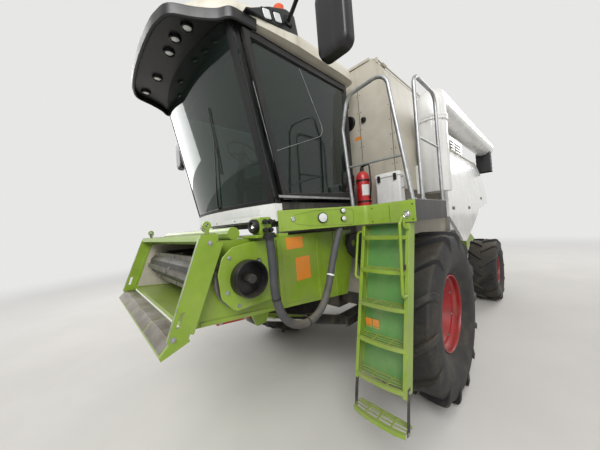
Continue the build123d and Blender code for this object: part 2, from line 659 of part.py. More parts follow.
# Unloading auger: fixed turret, swinging tube, rubber spout
auger_sides = 18
turret = flat_rod((auger_x, auger_y, 2250), (auger_x, auger_y, turret_top - seat), auger_radius, auger_sides)
turret += flat_rod((auger_x, auger_y, turret_top - 30), (auger_x, auger_y, turret_top - seat), auger_radius + 12,
                   auger_sides)
turret += box(auger_x - 100, auger_x + 100, tank_half_width + seat, auger_y - 100, 2250, 2580)
nodes["auger_turret"] = turret
auger_path = [(auger_x, auger_y, turret_top), (auger_x, auger_y, auger_z), (auger_end, auger_y, auger_z)]
auger = bent_bar(auger_path, auger_radius, auger_bend - 60, auger_sides)
auger += rod((auger_x, auger_y, turret_top), (auger_x, auger_y, turret_top + 30), auger_radius + 12)
spout_x0, spout_x1 = auger_end + 20, auger_end + 260
auger -= box(spout_x0 + 15, spout_x1 - 15, auger_y - 100, auger_y + 100, auger_z - 200, auger_z)
nodes["auger_tube"] = auger
spout_top = auger_z - 90
spout = box(spout_x0, spout_x1, auger_y - 120, auger_y + 120, spout_bottom, spout_top)
spout -= box(spout_x0 + 12, spout_x1 - 12, auger_y - 108, auger_y + 108, spout_bottom - 1, spout_top + 1)
spout -= bent_bar(auger_path, auger_radius + seat, auger_bend - 60, auger_sides)
nodes["auger_spout"] = spout

# Platform deck beside the cab
deck_plan = [(tank_front + 10, deck_inner), (deck_front, deck_inner), (deck_front, deck_left), (deck_rear, deck_left),
             (deck_rear, tank_half_width + wide_run), (tank_front + 10, tank_half_width + wide_run)]
deck = plan_prism(deck_plan, deck_top - deck_sheet, deck_top)
deck += box(deck_rear, deck_front, deck_left - 12, deck_left, fascia_bottom, deck_top - 1)
deck += box(deck_rear, deck_rear + 12, tank_half_width + wide_run, deck_left, fascia_bottom, deck_top - 1)
for x0 in (470, 860):
    deck += box(x0, x0 + 80, body_half_width, deck_left - 12, fascia_bottom, deck_top - deck_sheet + 1)
deck += flat_rod((ladder_pivot_x, ladder_pivot_y, fascia_bottom - 110),
                 (ladder_pivot_x, ladder_pivot_y, deck_top - 10), ladder_pin_radius, 12)
deck += box(ladder_pivot_x - 60, ladder_pivot_x + 60, ladder_pivot_y - 60, ladder_pivot_y + 60, fascia_bottom,
            deck_top - 10)
nodes["platform_deck"] = deck

# Green fascia in front of the deck and beside the cab
fascia = plan_prism(
    [(deck_front + seat, deck_left), (deck_front + 14, deck_left), (deck_front + 14, 1205), (1205, 1120),
     (1405, 1020), (1752, 850), (1740, 842), (1395, 1008), (1195, 1108), (deck_front + seat, 1195)],
    fascia_bottom, deck_top)
fascia += plan_prism([(deck_front + seat, 842), (1740, 842), (1395, 1010), (1195, 1110), (deck_front + seat, 1200)],
                     deck_top - 16, deck_top)
gland_plan = [(hose_top_x - 60, 1000), (hose_top_x + 45, 1000), (hose_top_x + 45, 1075), (hose_top_x, 1098),
              (hose_top_x - 60, 1115)]
fascia += plan_prism(gland_plan, fascia_bottom + 4, fascia_bottom + 16)
fascia += gland(hose_route[0], hose_route[1], 30)
nodes["front_fascia"] = fascia

# Lamps on the fascia
lamp_line = Vector(100, 200, 0).normalized()


def lamp(x, y, z, radius, depth):
    start = Vector(x, y, z) + 0.5 * lamp_line
    return flat_rod(start, start + lamp_line * depth, radius, 16)


lamps = lamp(1405, 1020, 2045, 45, 25)
lamps += lamp(1230, 1107.5, 2095, 24, 25)
lamps += lamp(1230, 1107.5, 2025, 24, 25)

# Cab base, with the white strip under the windscreen
glass_half = 839
glass_radius = (glass_half ** 2 + cab_glass_bow ** 2) / (2 * cab_glass_bow)
bow_centre_x = cab_glass_x + cab_glass_bow - glass_radius
base = box(cab_rear, 1690, -cab_half_width, cab_half_width, cab_floor - 60, cab_floor)
base += box(cab_rear, cab_rear + 40, -cab_half_width, cab_half_width, body_top + seat, cab_floor - 59)
base += box(1560, 1600, -cab_half_width, cab_half_width, body_top + seat, cab_floor - 59)
base += box(body_front - 60, 1600, 700, 740, body_top + seat, cab_floor - 59)
base += box(body_front - 60, 1600, -740, -700, body_top + seat, cab_floor - 59)
nodes["cab_base"] = base


def bowed_band(front_offset, sheet, half_width, z):
    outer = glass_radius + front_offset
    inner = outer - sheet
    edge = lambda radius, y: (bow_centre_x + math.sqrt(radius ** 2 - y ** 2), y, z)
    front = ThreePointArc(edge(outer, -half_width), edge(outer, 0), edge(outer, half_width))
    back = ThreePointArc(edge(inner, half_width), edge(inner, 0), edge(inner, -half_width))
    return make_face(Wire([front, Line(front @ 1, back @ 0), back, Line(back @ 1, front @ 0)]))


lean_dir = Vector(cab_lean, 0, 1)
glass_bottom = 2190
strip = extrude(bowed_band(12, 150, glass_half, 2045), amount=glass_bottom - seat - 2045, dir=(0, 0, 1))
strip -= box(1500, 1691, -900, 900, 2000, 2300)
nodes["cab_front_panel"] = strip
glass_height = cab_roof_bottom - seat - glass_bottom
nodes["windscreen"] = extrude(bowed_band(0, cab_glass_sheet, cab_half_width, glass_bottom),
                              amount=glass_height * lean_dir.length, dir=lean_dir)


# Cab frame: pillars and header
def leaning(x, z):
    return x + cab_lean * (z - glass_bottom)


pillar_front = bow_centre_x + math.sqrt((glass_radius - cab_glass_sheet) ** 2 - (cab_half_width - 3) ** 2) - seat
a_pillar = side_prism(
    [(leaning(pillar_front - 48, cab_floor), cab_floor), (leaning(pillar_front, cab_floor), cab_floor),
     (leaning(pillar_front, cab_roof_bottom), cab_roof_bottom),
     (leaning(pillar_front - 48, cab_roof_bottom), cab_roof_bottom)],
    cab_half_width - cab_pillar, cab_half_width - 3)
rear_pillar = box(cab_rear, cab_rear + 40, cab_half_width - cab_pillar, cab_half_width - 3, cab_floor,
                  cab_roof_bottom)
header = side_prism(
    [(cab_rear, cab_header + 8), (leaning(pillar_front - 40, cab_header), cab_header + 8),
     (leaning(pillar_front - 40, cab_roof_bottom), cab_roof_bottom), (cab_rear, cab_roof_bottom)],
    cab_half_width - cab_pillar, cab_half_width - 3)
front_header = box(leaning(pillar_front - 48, cab_roof_bottom) - 20, leaning(pillar_front - 48, cab_roof_bottom) + 30,
                   -cab_half_width + 20, cab_half_width - 20, cab_roof_bottom - 40, cab_roof_bottom)
rear_header = box(cab_rear, cab_rear + 40, -cab_half_width + 20, cab_half_width - 20, cab_roof_bottom - 40,
                  cab_roof_bottom)
nodes["cab_frame"] = both(a_pillar + rear_pillar + header).fuse(front_header, rear_header)
nodes["cab_frame"] += box(cab_rear + 8, cab_rear + 32, -cab_half_width + cab_pillar - 1,
                          cab_half_width - cab_pillar + 1, cab_floor, cab_roof_bottom - 39)

# Door on the left, window on the right: frame outlines in x, z
door_front_x = pillar_front - 52
door_outline = [
    (cab_rear + 44, 2260), (leaning(door_front_x, 2215), 2215), (leaning(door_front_x, cab_header), cab_header),
    (cab_rear + 50, cab_header),
]
door_in = cab_half_width - 20
door_sheet = 36


def ring(outline, margin, y0, y1):
    outer = make_face(Polyline(*[(x, y0, z) for x, z in outline], close=True))
    inner = offset(outer, amount=-margin)
    return extrude(outer, amount=y1 - y0, dir=(0, 1, 0)) - extrude(inner, amount=y1 - y0, dir=(0, 1, 0))


def pane(outline, margin, y0, y1):
    outer = make_face(Polyline(*[(x, y0, z) for x, z in outline], close=True))
    return extrude(offset(outer, amount=-margin), amount=y1 - y0, dir=(0, 1, 0))


door_y0 = cab_half_width + 6
door_frame = ring(door_outline, 48, door_y0, door_y0 + door_sheet)
hinge_x = cab_rear + 20
hinge_line_y = door_y0 + door_sheet / 2
door_pin_radius = 7
for z0 in (2420, 3300):
    door_frame += flat_rod((hinge_x, hinge_line_y, z0), (hinge_x, hinge_line_y, z0 + 90), 15, 8)
    door_frame += box(hinge_x, cab_rear + 60, hinge_line_y - 10, hinge_line_y + 10, z0, z0 + 90)
    door_frame -= pin_bore((hinge_x, hinge_line_y, z0 - 1), (hinge_x, hinge_line_y, z0 + 91), door_pin_radius,
                           z0 == 2420)
nodes["cab_door"] = door_frame
nodes["door_glass"] = pane(door_outline, 48 + seat, door_y0 + 12, door_y0 + 20)
right_frame = mirror(pane(door_outline, -4, cab_half_width - 3 + seat, door_y0 + 8), about=Plane.XZ)
nodes["right_window"] = right_frame

# Door hinge pins on the rear pillar
hinge_pins = None
for z0 in (2420, 3300):
    pin = flat_rod((hinge_x, hinge_line_y, z0 - 12), (hinge_x, hinge_line_y, z0 + 100), door_pin_radius, 8)
    pin += box(hinge_x - 12, hinge_x + 12, cab_half_width - 3, hinge_line_y + 8, z0 - 24, z0 - 4)
    hinge_pins = pin if hinge_pins is None else hinge_pins + pin
nodes["cab_frame"] += hinge_pins

# Roof shell: its plan, its cross section and its side outline cut each other
# half of each outline, mirrored below
def both_ways(half):
    return half + [(x, -y) for x, y in reversed(half) if y]


roof_step = cab_roof_bottom + visor_sheet
roof_plan = both_ways([(roof_rear, roof_half_width - 60), (roof_rear + 60, roof_half_width), (1500, roof_half_width),
                       (visor_rear, roof_half_width - 40), (2060, roof_half_width - 90), (2240, roof_half_width - 240),
                       (2350, roof_half_width - 350), (roof_front, 0)])
roof_half = [(roof_half_width, cab_roof_bottom), (roof_half_width, cab_roof_bottom + 70),
             (roof_half_width - 80, roof_top - 110), (500, roof_top - 40)]
roof_section = roof_half + [(0, roof_top)] + [(-y, z) for y, z in reversed(roof_half)]
roof_side = [(roof_rear, cab_roof_bottom), (roof_rear, roof_top - 100), (roof_rear + 100, roof_top), (1850, roof_top),
             (2290, roof_top - 90), (roof_front, roof_top - 190), (roof_front, roof_step),
             (visor_rear - 1, roof_step), (visor_rear - 1, cab_roof_bottom)]
roof = plan_prism(roof_plan, cab_roof_bottom, roof_top + 10)
roof &= cross_prism(roof_section, roof_rear - 5, roof_front + 5)
roof &= side_prism(roof_side, -roof_half_width - 5, roof_half_width + 5)
nodes["cab_roof"] = roof

# Visor: a panel under the shell's front with a lip round its edge, and the lamp pods on the roof's shoulders
visor_half = [(visor_rear, roof_half_width - 40), (2060, roof_half_width - 60), (2130, roof_half_width - 140),
              (2250, roof_half_width - 220), (2400, roof_half_width - 300), (visor_reach - 22, roof_half_width - 540),
              (visor_reach, 0)]
visor_lip_half = [(visor_rear - 10, roof_half_width), (2085, roof_half_width - 78), (2110, roof_half_width - 165),
                  (2230, roof_half_width - 255), (2370, roof_half_width - 330),
                  (visor_reach - 57, roof_half_width - 560), (visor_reach - 35, 0)]
visor_low = cab_roof_bottom - visor_drop
visor = plan_prism(both_ways(visor_half), visor_low, roof_step - seat)
visor -= plan_prism(both_ways(visor_lip_half), visor_low - 1, cab_roof_bottom)
pod_side = [(1990, roof_top - 230), (1904, roof_top - 190), (1740, roof_top - 85), (1560, roof_top), (1460, roof_top),
            (1420, roof_top - 190)]
pod = side_prism(pod_side, roof_half_width - 240, roof_half_width - 12) - roof
nodes["roof_visor"] = visor + both(pod)
beacon_x, beacon_y = 1510, roof_half_width - 150
nodes["beacon"] = flat_rod((beacon_x, beacon_y, roof_top + seat), (beacon_x, beacon_y, roof_top + 40), 60, 16) \
    + flat_rod((beacon_x, beacon_y, roof_top + 40), (beacon_x, beacon_y, roof_top + 150), 52, 16)

# Mirrors on arms from the lamp pods
mirror_box = chamfer(box(1690, 1770, 1400, 1630, 3010, 3450).edges().filter_by(Axis.X), 34)
arm_foot_y = roof_half_width - 12 + seat
mirror_arm = bent_bar([(1540, arm_foot_y + 5, 3730), (1640, 1250, 3790), (1730, 1515, 3770), (1730, 1515, 3440)],
                      17, 50, 8)
mirror_arm += box(1500, 1580, arm_foot_y, arm_foot_y + 12, 3690, 3770)
nodes["mirrors"] = both(mirror_box + mirror_arm)

# Seat and steering column
seat_base = box(900, 1250, -200, 200, cab_floor, cab_floor + 330)
cushion = chamfer(box(860, 1350, -260, 260, cab_floor + 330, cab_floor + 460).edges(), 34)
backrest = chamfer(side_prism([(860, cab_floor + 440), (960, cab_floor + 440), (900, cab_floor + 1080),
                              (800, cab_floor + 1080)], -250, 250).edges(), 28)
nodes["operator_seat"] = seat_base + cushion + backrest
column = flat_rod((1620, 0, cab_floor), (1540, 0, cab_floor + 620), 45, 8)
wheel_plane = Plane(origin=(1520, 0, cab_floor + 650), z_dir=(-0.5, 0, 0.86))
wheel = extrude(wheel_plane * (RegularPolygon(205, 12) - RegularPolygon(177, 12)), amount=26, dir=wheel_plane.z_dir)
spokes = [wheel_plane * (Rot(0, 0, 120 * i) * Pos(95, 0, 12) * Box(190, 30, 12)) for i in range(3)]
column_top = wheel_plane * Box(80, 80, 60)
nodes["steering_column"] = column.fuse(wheel, *spokes, column_top) \
    - box(1500, 1700, -100, 100, cab_floor - 60, cab_floor + seat)

# Handrails: front hoop, side railing
rail_r = 17
hoop = bent_bar([(deck_front - 25, 1050, deck_top + seat), (deck_front - 10, 1010, 2900),
                 (deck_front - 5, 1090, 3190), (deck_front - 5, 1480, 3230),
                 (deck_front - 20, 1615, deck_top + seat)], rail_r, 60, 8)
hoop += flat_rod((deck_front - 18, 1032, 2520), (deck_front - 14, 1590, 2500), 10, 6)
side_rail = bent_bar([(760, 1615, deck_top + seat), (760, 1615, 3230), (200, 1615, 3230),
                      (200, 1615, deck_top + seat)], rail_r, 50, 8)
side_rail += flat_rod((760, 1615, 2680), (200, 1615, 2680), 10, 6)
nodes["handrails"] = (hoop + side_rail) - plan_prism(deck_plan, deck_top - 40, deck_top + seat)

# Fire extinguisher on the deck, with its hose, and the tool box beside it
ext_x, ext_y = 560, 930
ext = flat_rod((ext_x, ext_y, deck_top + seat), (ext_x, ext_y, deck_top + 420), 75, 16)
ext += flat_rod((ext_x, ext_y, deck_top + 400), (ext_x, ext_y, deck_top + 490), 22, 8)
ext += bent_bar([(ext_x, ext_y, deck_top + 470), (ext_x + 30, ext_y + 110, deck_top + 480),
                 (ext_x + 40, ext_y + 125, deck_top + 250), (ext_x + 5, ext_y + 84, deck_top + 100)], 9, 30, 6)
nodes["fire_extinguisher"] = ext
tool_box = box(430, 545, 1075, 1340, deck_top + seat, deck_top + 300)
tool_box += chamfer(box(424, 551, 1069, 1346, deck_top + 300, deck_top + 350).faces().sort_by(Axis.Z)[-1].edges(), 18)
nodes["tool_box"] = tool_box

# Ladder on its swing arm, with the rubber-hung bottom step
step_pitch = (1850 - 750) / (ladder_steps - 1)


def ladder_x(z):
    return ladder_top_x + ladder_slope * (1850 - z)


def leaning_sheet(front, back):
    # x, z of a sheet between two depths behind the ladder's front
    return [(ladder_x(ladder_top) - front, ladder_top), (ladder_x(ladder_bottom) - front, ladder_bottom),
            (ladder_x(ladder_bottom) - back, ladder_bottom), (ladder_x(ladder_top) - back, ladder_top)]


stringer_outline = leaning_sheet(0, ladder_depth)
stringers = [side_prism(stringer_outline, ladder_right, ladder_right + 8),
             side_prism(stringer_outline, ladder_left - 8, ladder_left)]
ladder = side_prism(leaning_sheet(ladder_depth - 6, ladder_depth), ladder_right, ladder_left).fuse(*stringers)
for i in range(ladder_steps):
    z = 1850 - step_pitch * i
    nose = ladder_x(z) + 35
    back = ladder_x(z) - ladder_depth + 4
    ladder += plan_prism([(back, ladder_right + 4), (nose - 30, ladder_right + 4), (nose - 4, ladder_right + 110),
                          (nose - 4, ladder_left - 110), (nose - 30, ladder_left - 4), (back, ladder_left - 4)],
                         z - 32, z)
arm_top = fascia_bottom - wide_run
arm = box(ladder_pivot_x, ladder_x(ladder_top) - ladder_depth + 5, ladder_pivot_y - 40, ladder_pivot_y + 40,
          arm_top - 90, arm_top - 20)
arm += flat_rod((ladder_pivot_x, ladder_pivot_y, arm_top - 90), (ladder_pivot_x, ladder_pivot_y, arm_top - 5), 45, 12)
arm -= rod((ladder_pivot_x, ladder_pivot_y, arm_top - 100), (ladder_pivot_x, ladder_pivot_y, arm_top + 20),
           ladder_pin_radius + pin_gap)
ladder += arm
ladder += bent_bar([(ladder_x(1890) - 20, ladder_right + 4, 1890), (ladder_x(1890) - 20, ladder_right - 55, 1890),
                    (ladder_x(1480) - 20, ladder_right - 55, 1480), (ladder_x(1480) - 20, ladder_right + 4, 1480)],
                   12, 22, 6)
left_loop_y = ladder_left - 12
ladder += bent_bar([(ladder_x(1900) - 20, left_loop_y, 1900), (ladder_loop_x, left_loop_y, 1915),
                    (ladder_loop_x + 12, left_loop_y, 2020), (ladder_loop_x + 75, left_loop_y, 1950),
                    (ladder_x(1400) + 70, left_loop_y, 1400), (ladder_x(1400) - 10, left_loop_y, 1400)], 12, 20, 6)
nodes["ladder"] = ladder

low_z = 490
low_x = ladder_x(low_z)
low_step = box(low_x - ladder_depth, low_x + 35, ladder_right + 1, ladder_left - 1, low_z - 32, low_z)
for y0 in (ladder_right - 4, ladder_left - 2):
    low_step += side_prism([(ladder_x(760) - 60, 760), (ladder_x(760) - 20, 760), (low_x - 20, low_z - 30),
                            (low_x - 60, low_z - 30)], y0, y0 + 6)
nodes["ladder_bottom_step"] = low_step - ladder

# Tail lamps at the hood's rear corners
nodes["lamps"] = lamps + both(box(hood_rear - 45, hood_rear - seat, 700, 830, 1900, 2100))

# Free hose bundle along its route
def corner_radii(route):
    radii = []
    for (x0, z0), (x1, z1), (x2, z2) in zip(route, route[1:], route[2:]):
        before = Vector(x1 - x0, 0, z1 - z0)
        after = Vector(x2 - x1, 0, z2 - z1)
        turn = math.radians(before.get_angle(after))
        radii.append(0.45 * min(before.length, after.length) / math.tan(turn / 2))
    return radii


hose_radii = corner_radii(hose_route)
hose_path = FilletPolyline(*[(x, hose_y, z) for x, z in hose_route], radius=hose_radii)
hose_section = Plane(origin=hose_path @ 0, z_dir=hose_path % 0) * RegularPolygon(hose_radius, hose_sides)
hose = sweep(hose_section, path=hose_path)
print("hose radii", [round(r) for r in hose_radii], "length", round(hose_path.length))
print("hose volume ratio", round(hose.volume / (hose_section.area * hose_path.length), 4))
nodes["hydraulic_hose"] = hose

# Writing: the origin goes below the middle of the machine
origin_shift = (rear_reach - frame_lip_x) / 2
print("front axle x", origin_shift, "axle heights", round(front_axle_z, 3), round(rear_axle_z, 3))
for name, shape in nodes.items():
    pieces = [Pos(origin_shift, 0, 0) * solid for piece in (shape if isinstance(shape, list) else [shape])
              for solid in piece.solids()]
    export_step(Compound(pieces) if len(pieces) > 1 else pieces[0], f"parts/{name}.step")
print(len(nodes), "nodes")
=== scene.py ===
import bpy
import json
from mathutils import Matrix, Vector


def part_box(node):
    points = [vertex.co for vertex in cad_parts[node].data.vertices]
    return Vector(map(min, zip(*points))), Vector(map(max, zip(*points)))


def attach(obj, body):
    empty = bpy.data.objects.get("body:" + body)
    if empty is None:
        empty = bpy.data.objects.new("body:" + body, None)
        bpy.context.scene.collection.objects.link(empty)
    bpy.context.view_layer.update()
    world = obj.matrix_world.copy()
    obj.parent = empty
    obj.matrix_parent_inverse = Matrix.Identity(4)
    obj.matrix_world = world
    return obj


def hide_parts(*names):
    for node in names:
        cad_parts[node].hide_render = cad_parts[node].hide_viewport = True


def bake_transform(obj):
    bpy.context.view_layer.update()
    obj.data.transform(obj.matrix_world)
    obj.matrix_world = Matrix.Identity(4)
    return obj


bl_info = {
    "name": "Combine Harvester Finish",
    "version": (1, 0, 0),
    "blender": (4, 5, 0),
    "location": "3D View > Sidebar > Harvester",
    "description": "Paint, glass, rubber, lamps and fine parts for a combine harvester",
    "category": "Object",
}

import json
from math import cos, pi, radians, sin, sqrt, tan

import bmesh
import bpy
from bpy.props import FloatProperty, FloatVectorProperty, PointerProperty
from bpy.types import Operator, Panel, PropertyGroup
from mathutils import Matrix, Vector

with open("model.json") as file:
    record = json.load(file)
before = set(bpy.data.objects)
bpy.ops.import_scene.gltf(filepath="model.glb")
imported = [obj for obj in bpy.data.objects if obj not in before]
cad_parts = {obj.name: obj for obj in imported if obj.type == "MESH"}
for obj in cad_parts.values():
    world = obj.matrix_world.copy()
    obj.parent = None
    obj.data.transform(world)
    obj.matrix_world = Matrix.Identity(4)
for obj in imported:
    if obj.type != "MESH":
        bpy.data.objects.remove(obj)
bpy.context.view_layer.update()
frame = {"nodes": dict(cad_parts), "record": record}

# Pieces are drawn in metres from the ground point under the front axle, and moved forward by this much.
tyre_low, tyre_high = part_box("tyre_front_left")
AXLE = Vector(((tyre_low[0] + tyre_high[0]) / 2, 0.0, 0.0))

SMOOTH_ANGLE = radians(38)
AHEAD = (1, 0, 0)
LEFT = (0, 1, 0)
UP = (0, 0, 1)


# Shader trees
class Tree:
    """Adds nodes to one shader tree and joins their sockets by name."""

    def __init__(self, tree):
        self.tree = tree

    def add(self, kind, inputs=None, **settings):
        node = self.tree.nodes.new(kind)
        for key, value in settings.items():
            setattr(node, key, value)
        for key, value in (inputs or {}).items():
            if isinstance(value, bpy.types.NodeSocket):
                self.tree.links.new(value, node.inputs[key])
            else:
                node.inputs[key].default_value = value
        return node

    def math(self, operation, first, second=0.5, clamp=False):
        """One sum of values; gives its result."""
        node = self.add("ShaderNodeMath", {0: first, 1: second}, operation=operation, use_clamp=clamp)
        return node.outputs[0]

    def ramp(self, value, low, high, start=0.0, end=1.0):
        """Maps low..high softly onto start..end."""
        node = self.add("ShaderNodeMapRange", {"Value": value, "From Min": low, "From Max": high,
                                               "To Min": start, "To Max": end},
                        interpolation_type="SMOOTHSTEP")
        return node.outputs[0]

    def mix(self, factor, first, second, blend="MIX"):
        """Mixes two colours."""
        node = self.add("ShaderNodeMix", {0: factor, 6: first, 7: second}, data_type="RGBA", blend_type=blend)
        return node.outputs[2]

    def noise(self, scale, detail=4.0, rough=0.6, stretch=(1.0, 1.0, 1.0), warp=0.0):
        """Noise that stays fixed to the piece."""
        place = self.add("ShaderNodeTexCoord").outputs["Object"]
        place = self.add("ShaderNodeMapping", {"Vector": place, "Scale": stretch}).outputs[0]
        return self.add("ShaderNodeTexNoise", {"Vector": place, "Scale": scale, "Detail": detail,
                                               "Roughness": rough, "Distortion": warp}).outputs[0]


def new_group(name, inputs, outputs):
    """An empty shader group with float inputs (name, default) and named float outputs."""
    tree = bpy.data.node_groups.new(name, "ShaderNodeTree")
    for label, default in inputs:
        socket = tree.interface.new_socket(name=label, in_out="INPUT", socket_type="NodeSocketFloat")
        socket.default_value = default
    for label in outputs:
        tree.interface.new_socket(name=label, in_out="OUTPUT", socket_type="NodeSocketFloat")
    nodes = Tree(tree)
    source = nodes.add("NodeGroupInput").outputs
    sink = nodes.add("NodeGroupOutput").inputs
    return nodes, source, sink


def dust_group():
    """Dust that lies on upward faces and low down, in uneven patches."""
    nodes, source, sink = new_group("Dust", [("Amount", 0.5), ("Low Edge", 0.6), ("High Edge", 2.2)],
                                    ["Mask"])
    coord = nodes.add("ShaderNodeTexCoord").outputs
    up = nodes.add("ShaderNodeSeparateXYZ", {0: coord["Normal"]}).outputs[2]
    height = nodes.add("ShaderNodeSeparateXYZ", {0: coord["Object"]}).outputs[2]
    lying = nodes.ramp(up, 0.25, 0.95)
    low = nodes.add("ShaderNodeMapRange", {"Value": height, "From Min": source["Low Edge"],
                                           "From Max": source["High Edge"], "To Min": 1.0,
                                           "To Max": 0.0}).outputs[0]
    patches = nodes.ramp(nodes.noise(2.6, 8.0, 0.68, warp=0.6), 0.38, 0.66)
    fine = nodes.ramp(nodes.noise(46.0, 3.0, 0.7), 0.3, 0.7, 0.55, 1.0)
    where = nodes.math("MAXIMUM", lying, nodes.math("MULTIPLY", low, patches))
    where = nodes.math("MULTIPLY", where, nodes.math("ADD", nodes.math("MULTIPLY", patches, 0.55), 0.45))
    amount = nodes.math("MULTIPLY", nodes.math("MULTIPLY", where, fine), source["Amount"], clamp=True)
    nodes.tree.links.new(amount, sink["Mask"])
    return nodes.tree


def wear_group():
    """Edges rubbed through, found by comparing a rounded normal with the true one."""
    nodes, source, sink = new_group("Edge Wear", [("Amount", 0.5), ("Radius", 0.006)], ["Mask"])
    rounded = nodes.add("ShaderNodeBevel", {"Radius": source["Radius"]}, samples=4).outputs[0]
    true = nodes.add("ShaderNodeNewGeometry").outputs["Normal"]
    turn = nodes.add("ShaderNodeVectorMath", {0: rounded, 1: true}, operation="DOT_PRODUCT").outputs["Value"]
    edge = nodes.ramp(turn, 0.985, 0.86, 0.0, 1.0)
    chips = nodes.ramp(nodes.noise(38.0, 6.0, 0.72), 0.45, 0.58)
    mask = nodes.math("MULTIPLY", nodes.math("MULTIPLY", edge, chips), source["Amount"], clamp=True)
    nodes.tree.links.new(mask, sink["Mask"])
    return nodes.tree


def mottle_group():
    """Slow and fine unevenness of a surface, as a value round one half, and its height."""
    nodes, source, sink = new_group("Mottle", [("Scale", 3.0), ("Fine Scale", 160.0)], ["Value", "Height"])
    slow = nodes.noise(3.0, 5.0, 0.6)
    nodes.tree.links.new(source["Scale"], slow.node.inputs["Scale"])
    fine = nodes.noise(160.0, 2.0, 0.5)
    nodes.tree.links.new(source["Fine Scale"], fine.node.inputs["Scale"])
    nodes.tree.links.new(slow, sink["Value"])
    nodes.tree.links.new(fine, sink["Height"])
    return nodes.tree


def streak_group():
    """Runs that rain leaves on upright faces."""
    nodes, source, sink = new_group("Streaks", [("Amount", 0.4)], ["Mask"])
    runs = nodes.ramp(nodes.noise(9.0, 6.0, 0.62, stretch=(1.0, 1.0, 0.07)), 0.52, 0.72)
    up = nodes.add("ShaderNodeSeparateXYZ", {0: nodes.add("ShaderNodeTexCoord").outputs["Normal"]}).outputs[2]
    upright = nodes.ramp(nodes.math("ABSOLUTE", up), 0.7, 0.3, 0.0, 1.0)
    mask = nodes.math("MULTIPLY", nodes.math("MULTIPLY", runs, upright), source["Amount"], clamp=True)
    nodes.tree.links.new(mask, sink["Mask"])
    return nodes.tree


GROUPS = {}
MATERIALS = {}


def effect(nodes, name, **inputs):
    """Places one of the shared effects in a material, with this material's own values."""
    makers = {"Dust": dust_group, "Edge Wear": wear_group, "Mottle": mottle_group, "Streaks": streak_group}
    if name not in GROUPS:
        GROUPS[name] = makers[name]()
    node = nodes.add("ShaderNodeGroup", node_tree=GROUPS[name])
    for key, value in inputs.items():
        node.inputs[key.replace("_", " ").title()].default_value = value
    return node.outputs


DUST_COLOUR = (0.30, 0.245, 0.17, 1.0)


def finish(name, colour, shade, rough, metal=0.0, dust=0.5, wear=0.4, worn=(0.16, 0.15, 0.13, 1.0),
           streaks=0.2, bump=0.05, fine=160.0, slow=3.0, coat=0.0, specular=0.5, low=0.5, high=2.4):
    """A material: two tones of colour, mottled, with dust, streaks and rubbed edges."""
    if name in MATERIALS:
        return MATERIALS[name]
    material = bpy.data.materials.new(name)
    material.use_nodes = True
    nodes = Tree(material.node_tree)
    shader = nodes.tree.nodes["Principled BSDF"]
    mottle = effect(nodes, "Mottle", scale=slow, fine_scale=fine)
    tone = nodes.mix(nodes.ramp(mottle["Value"], 0.32, 0.68), tuple(shade) + (1.0,), tuple(colour) + (1.0,))
    run = effect(nodes, "Streaks", amount=streaks)["Mask"]
    tone = nodes.mix(run, tone, DUST_COLOUR)
    rubbed = effect(nodes, "Edge Wear", amount=wear)["Mask"]
    tone = nodes.mix(rubbed, tone, worn)
    dusty = effect(nodes, "Dust", amount=dust, low_edge=low, high_edge=high)["Mask"]
    tone = nodes.mix(dusty, tone, DUST_COLOUR)
    gloss = nodes.ramp(mottle["Value"], 0.3, 0.7, rough - 0.05, rough + 0.07)
    gloss = nodes.math("ADD", gloss, nodes.math("MULTIPLY", dusty, 0.4), clamp=True)
    link = nodes.tree.links.new
    link(tone, shader.inputs["Base Color"])
    link(gloss, shader.inputs["Roughness"])
    relief = nodes.add("ShaderNodeBump", {"Height": mottle["Height"], "Strength": bump, "Distance": 0.002})
    link(relief.outputs[0], shader.inputs["Normal"])
    shader.inputs["Metallic"].default_value = metal
    shader.inputs["Coat Weight"].default_value = coat
    shader.inputs["Coat Roughness"].default_value = 0.12
    shader.inputs["Specular IOR Level"].default_value = specular
    MATERIALS[name] = material
    return material


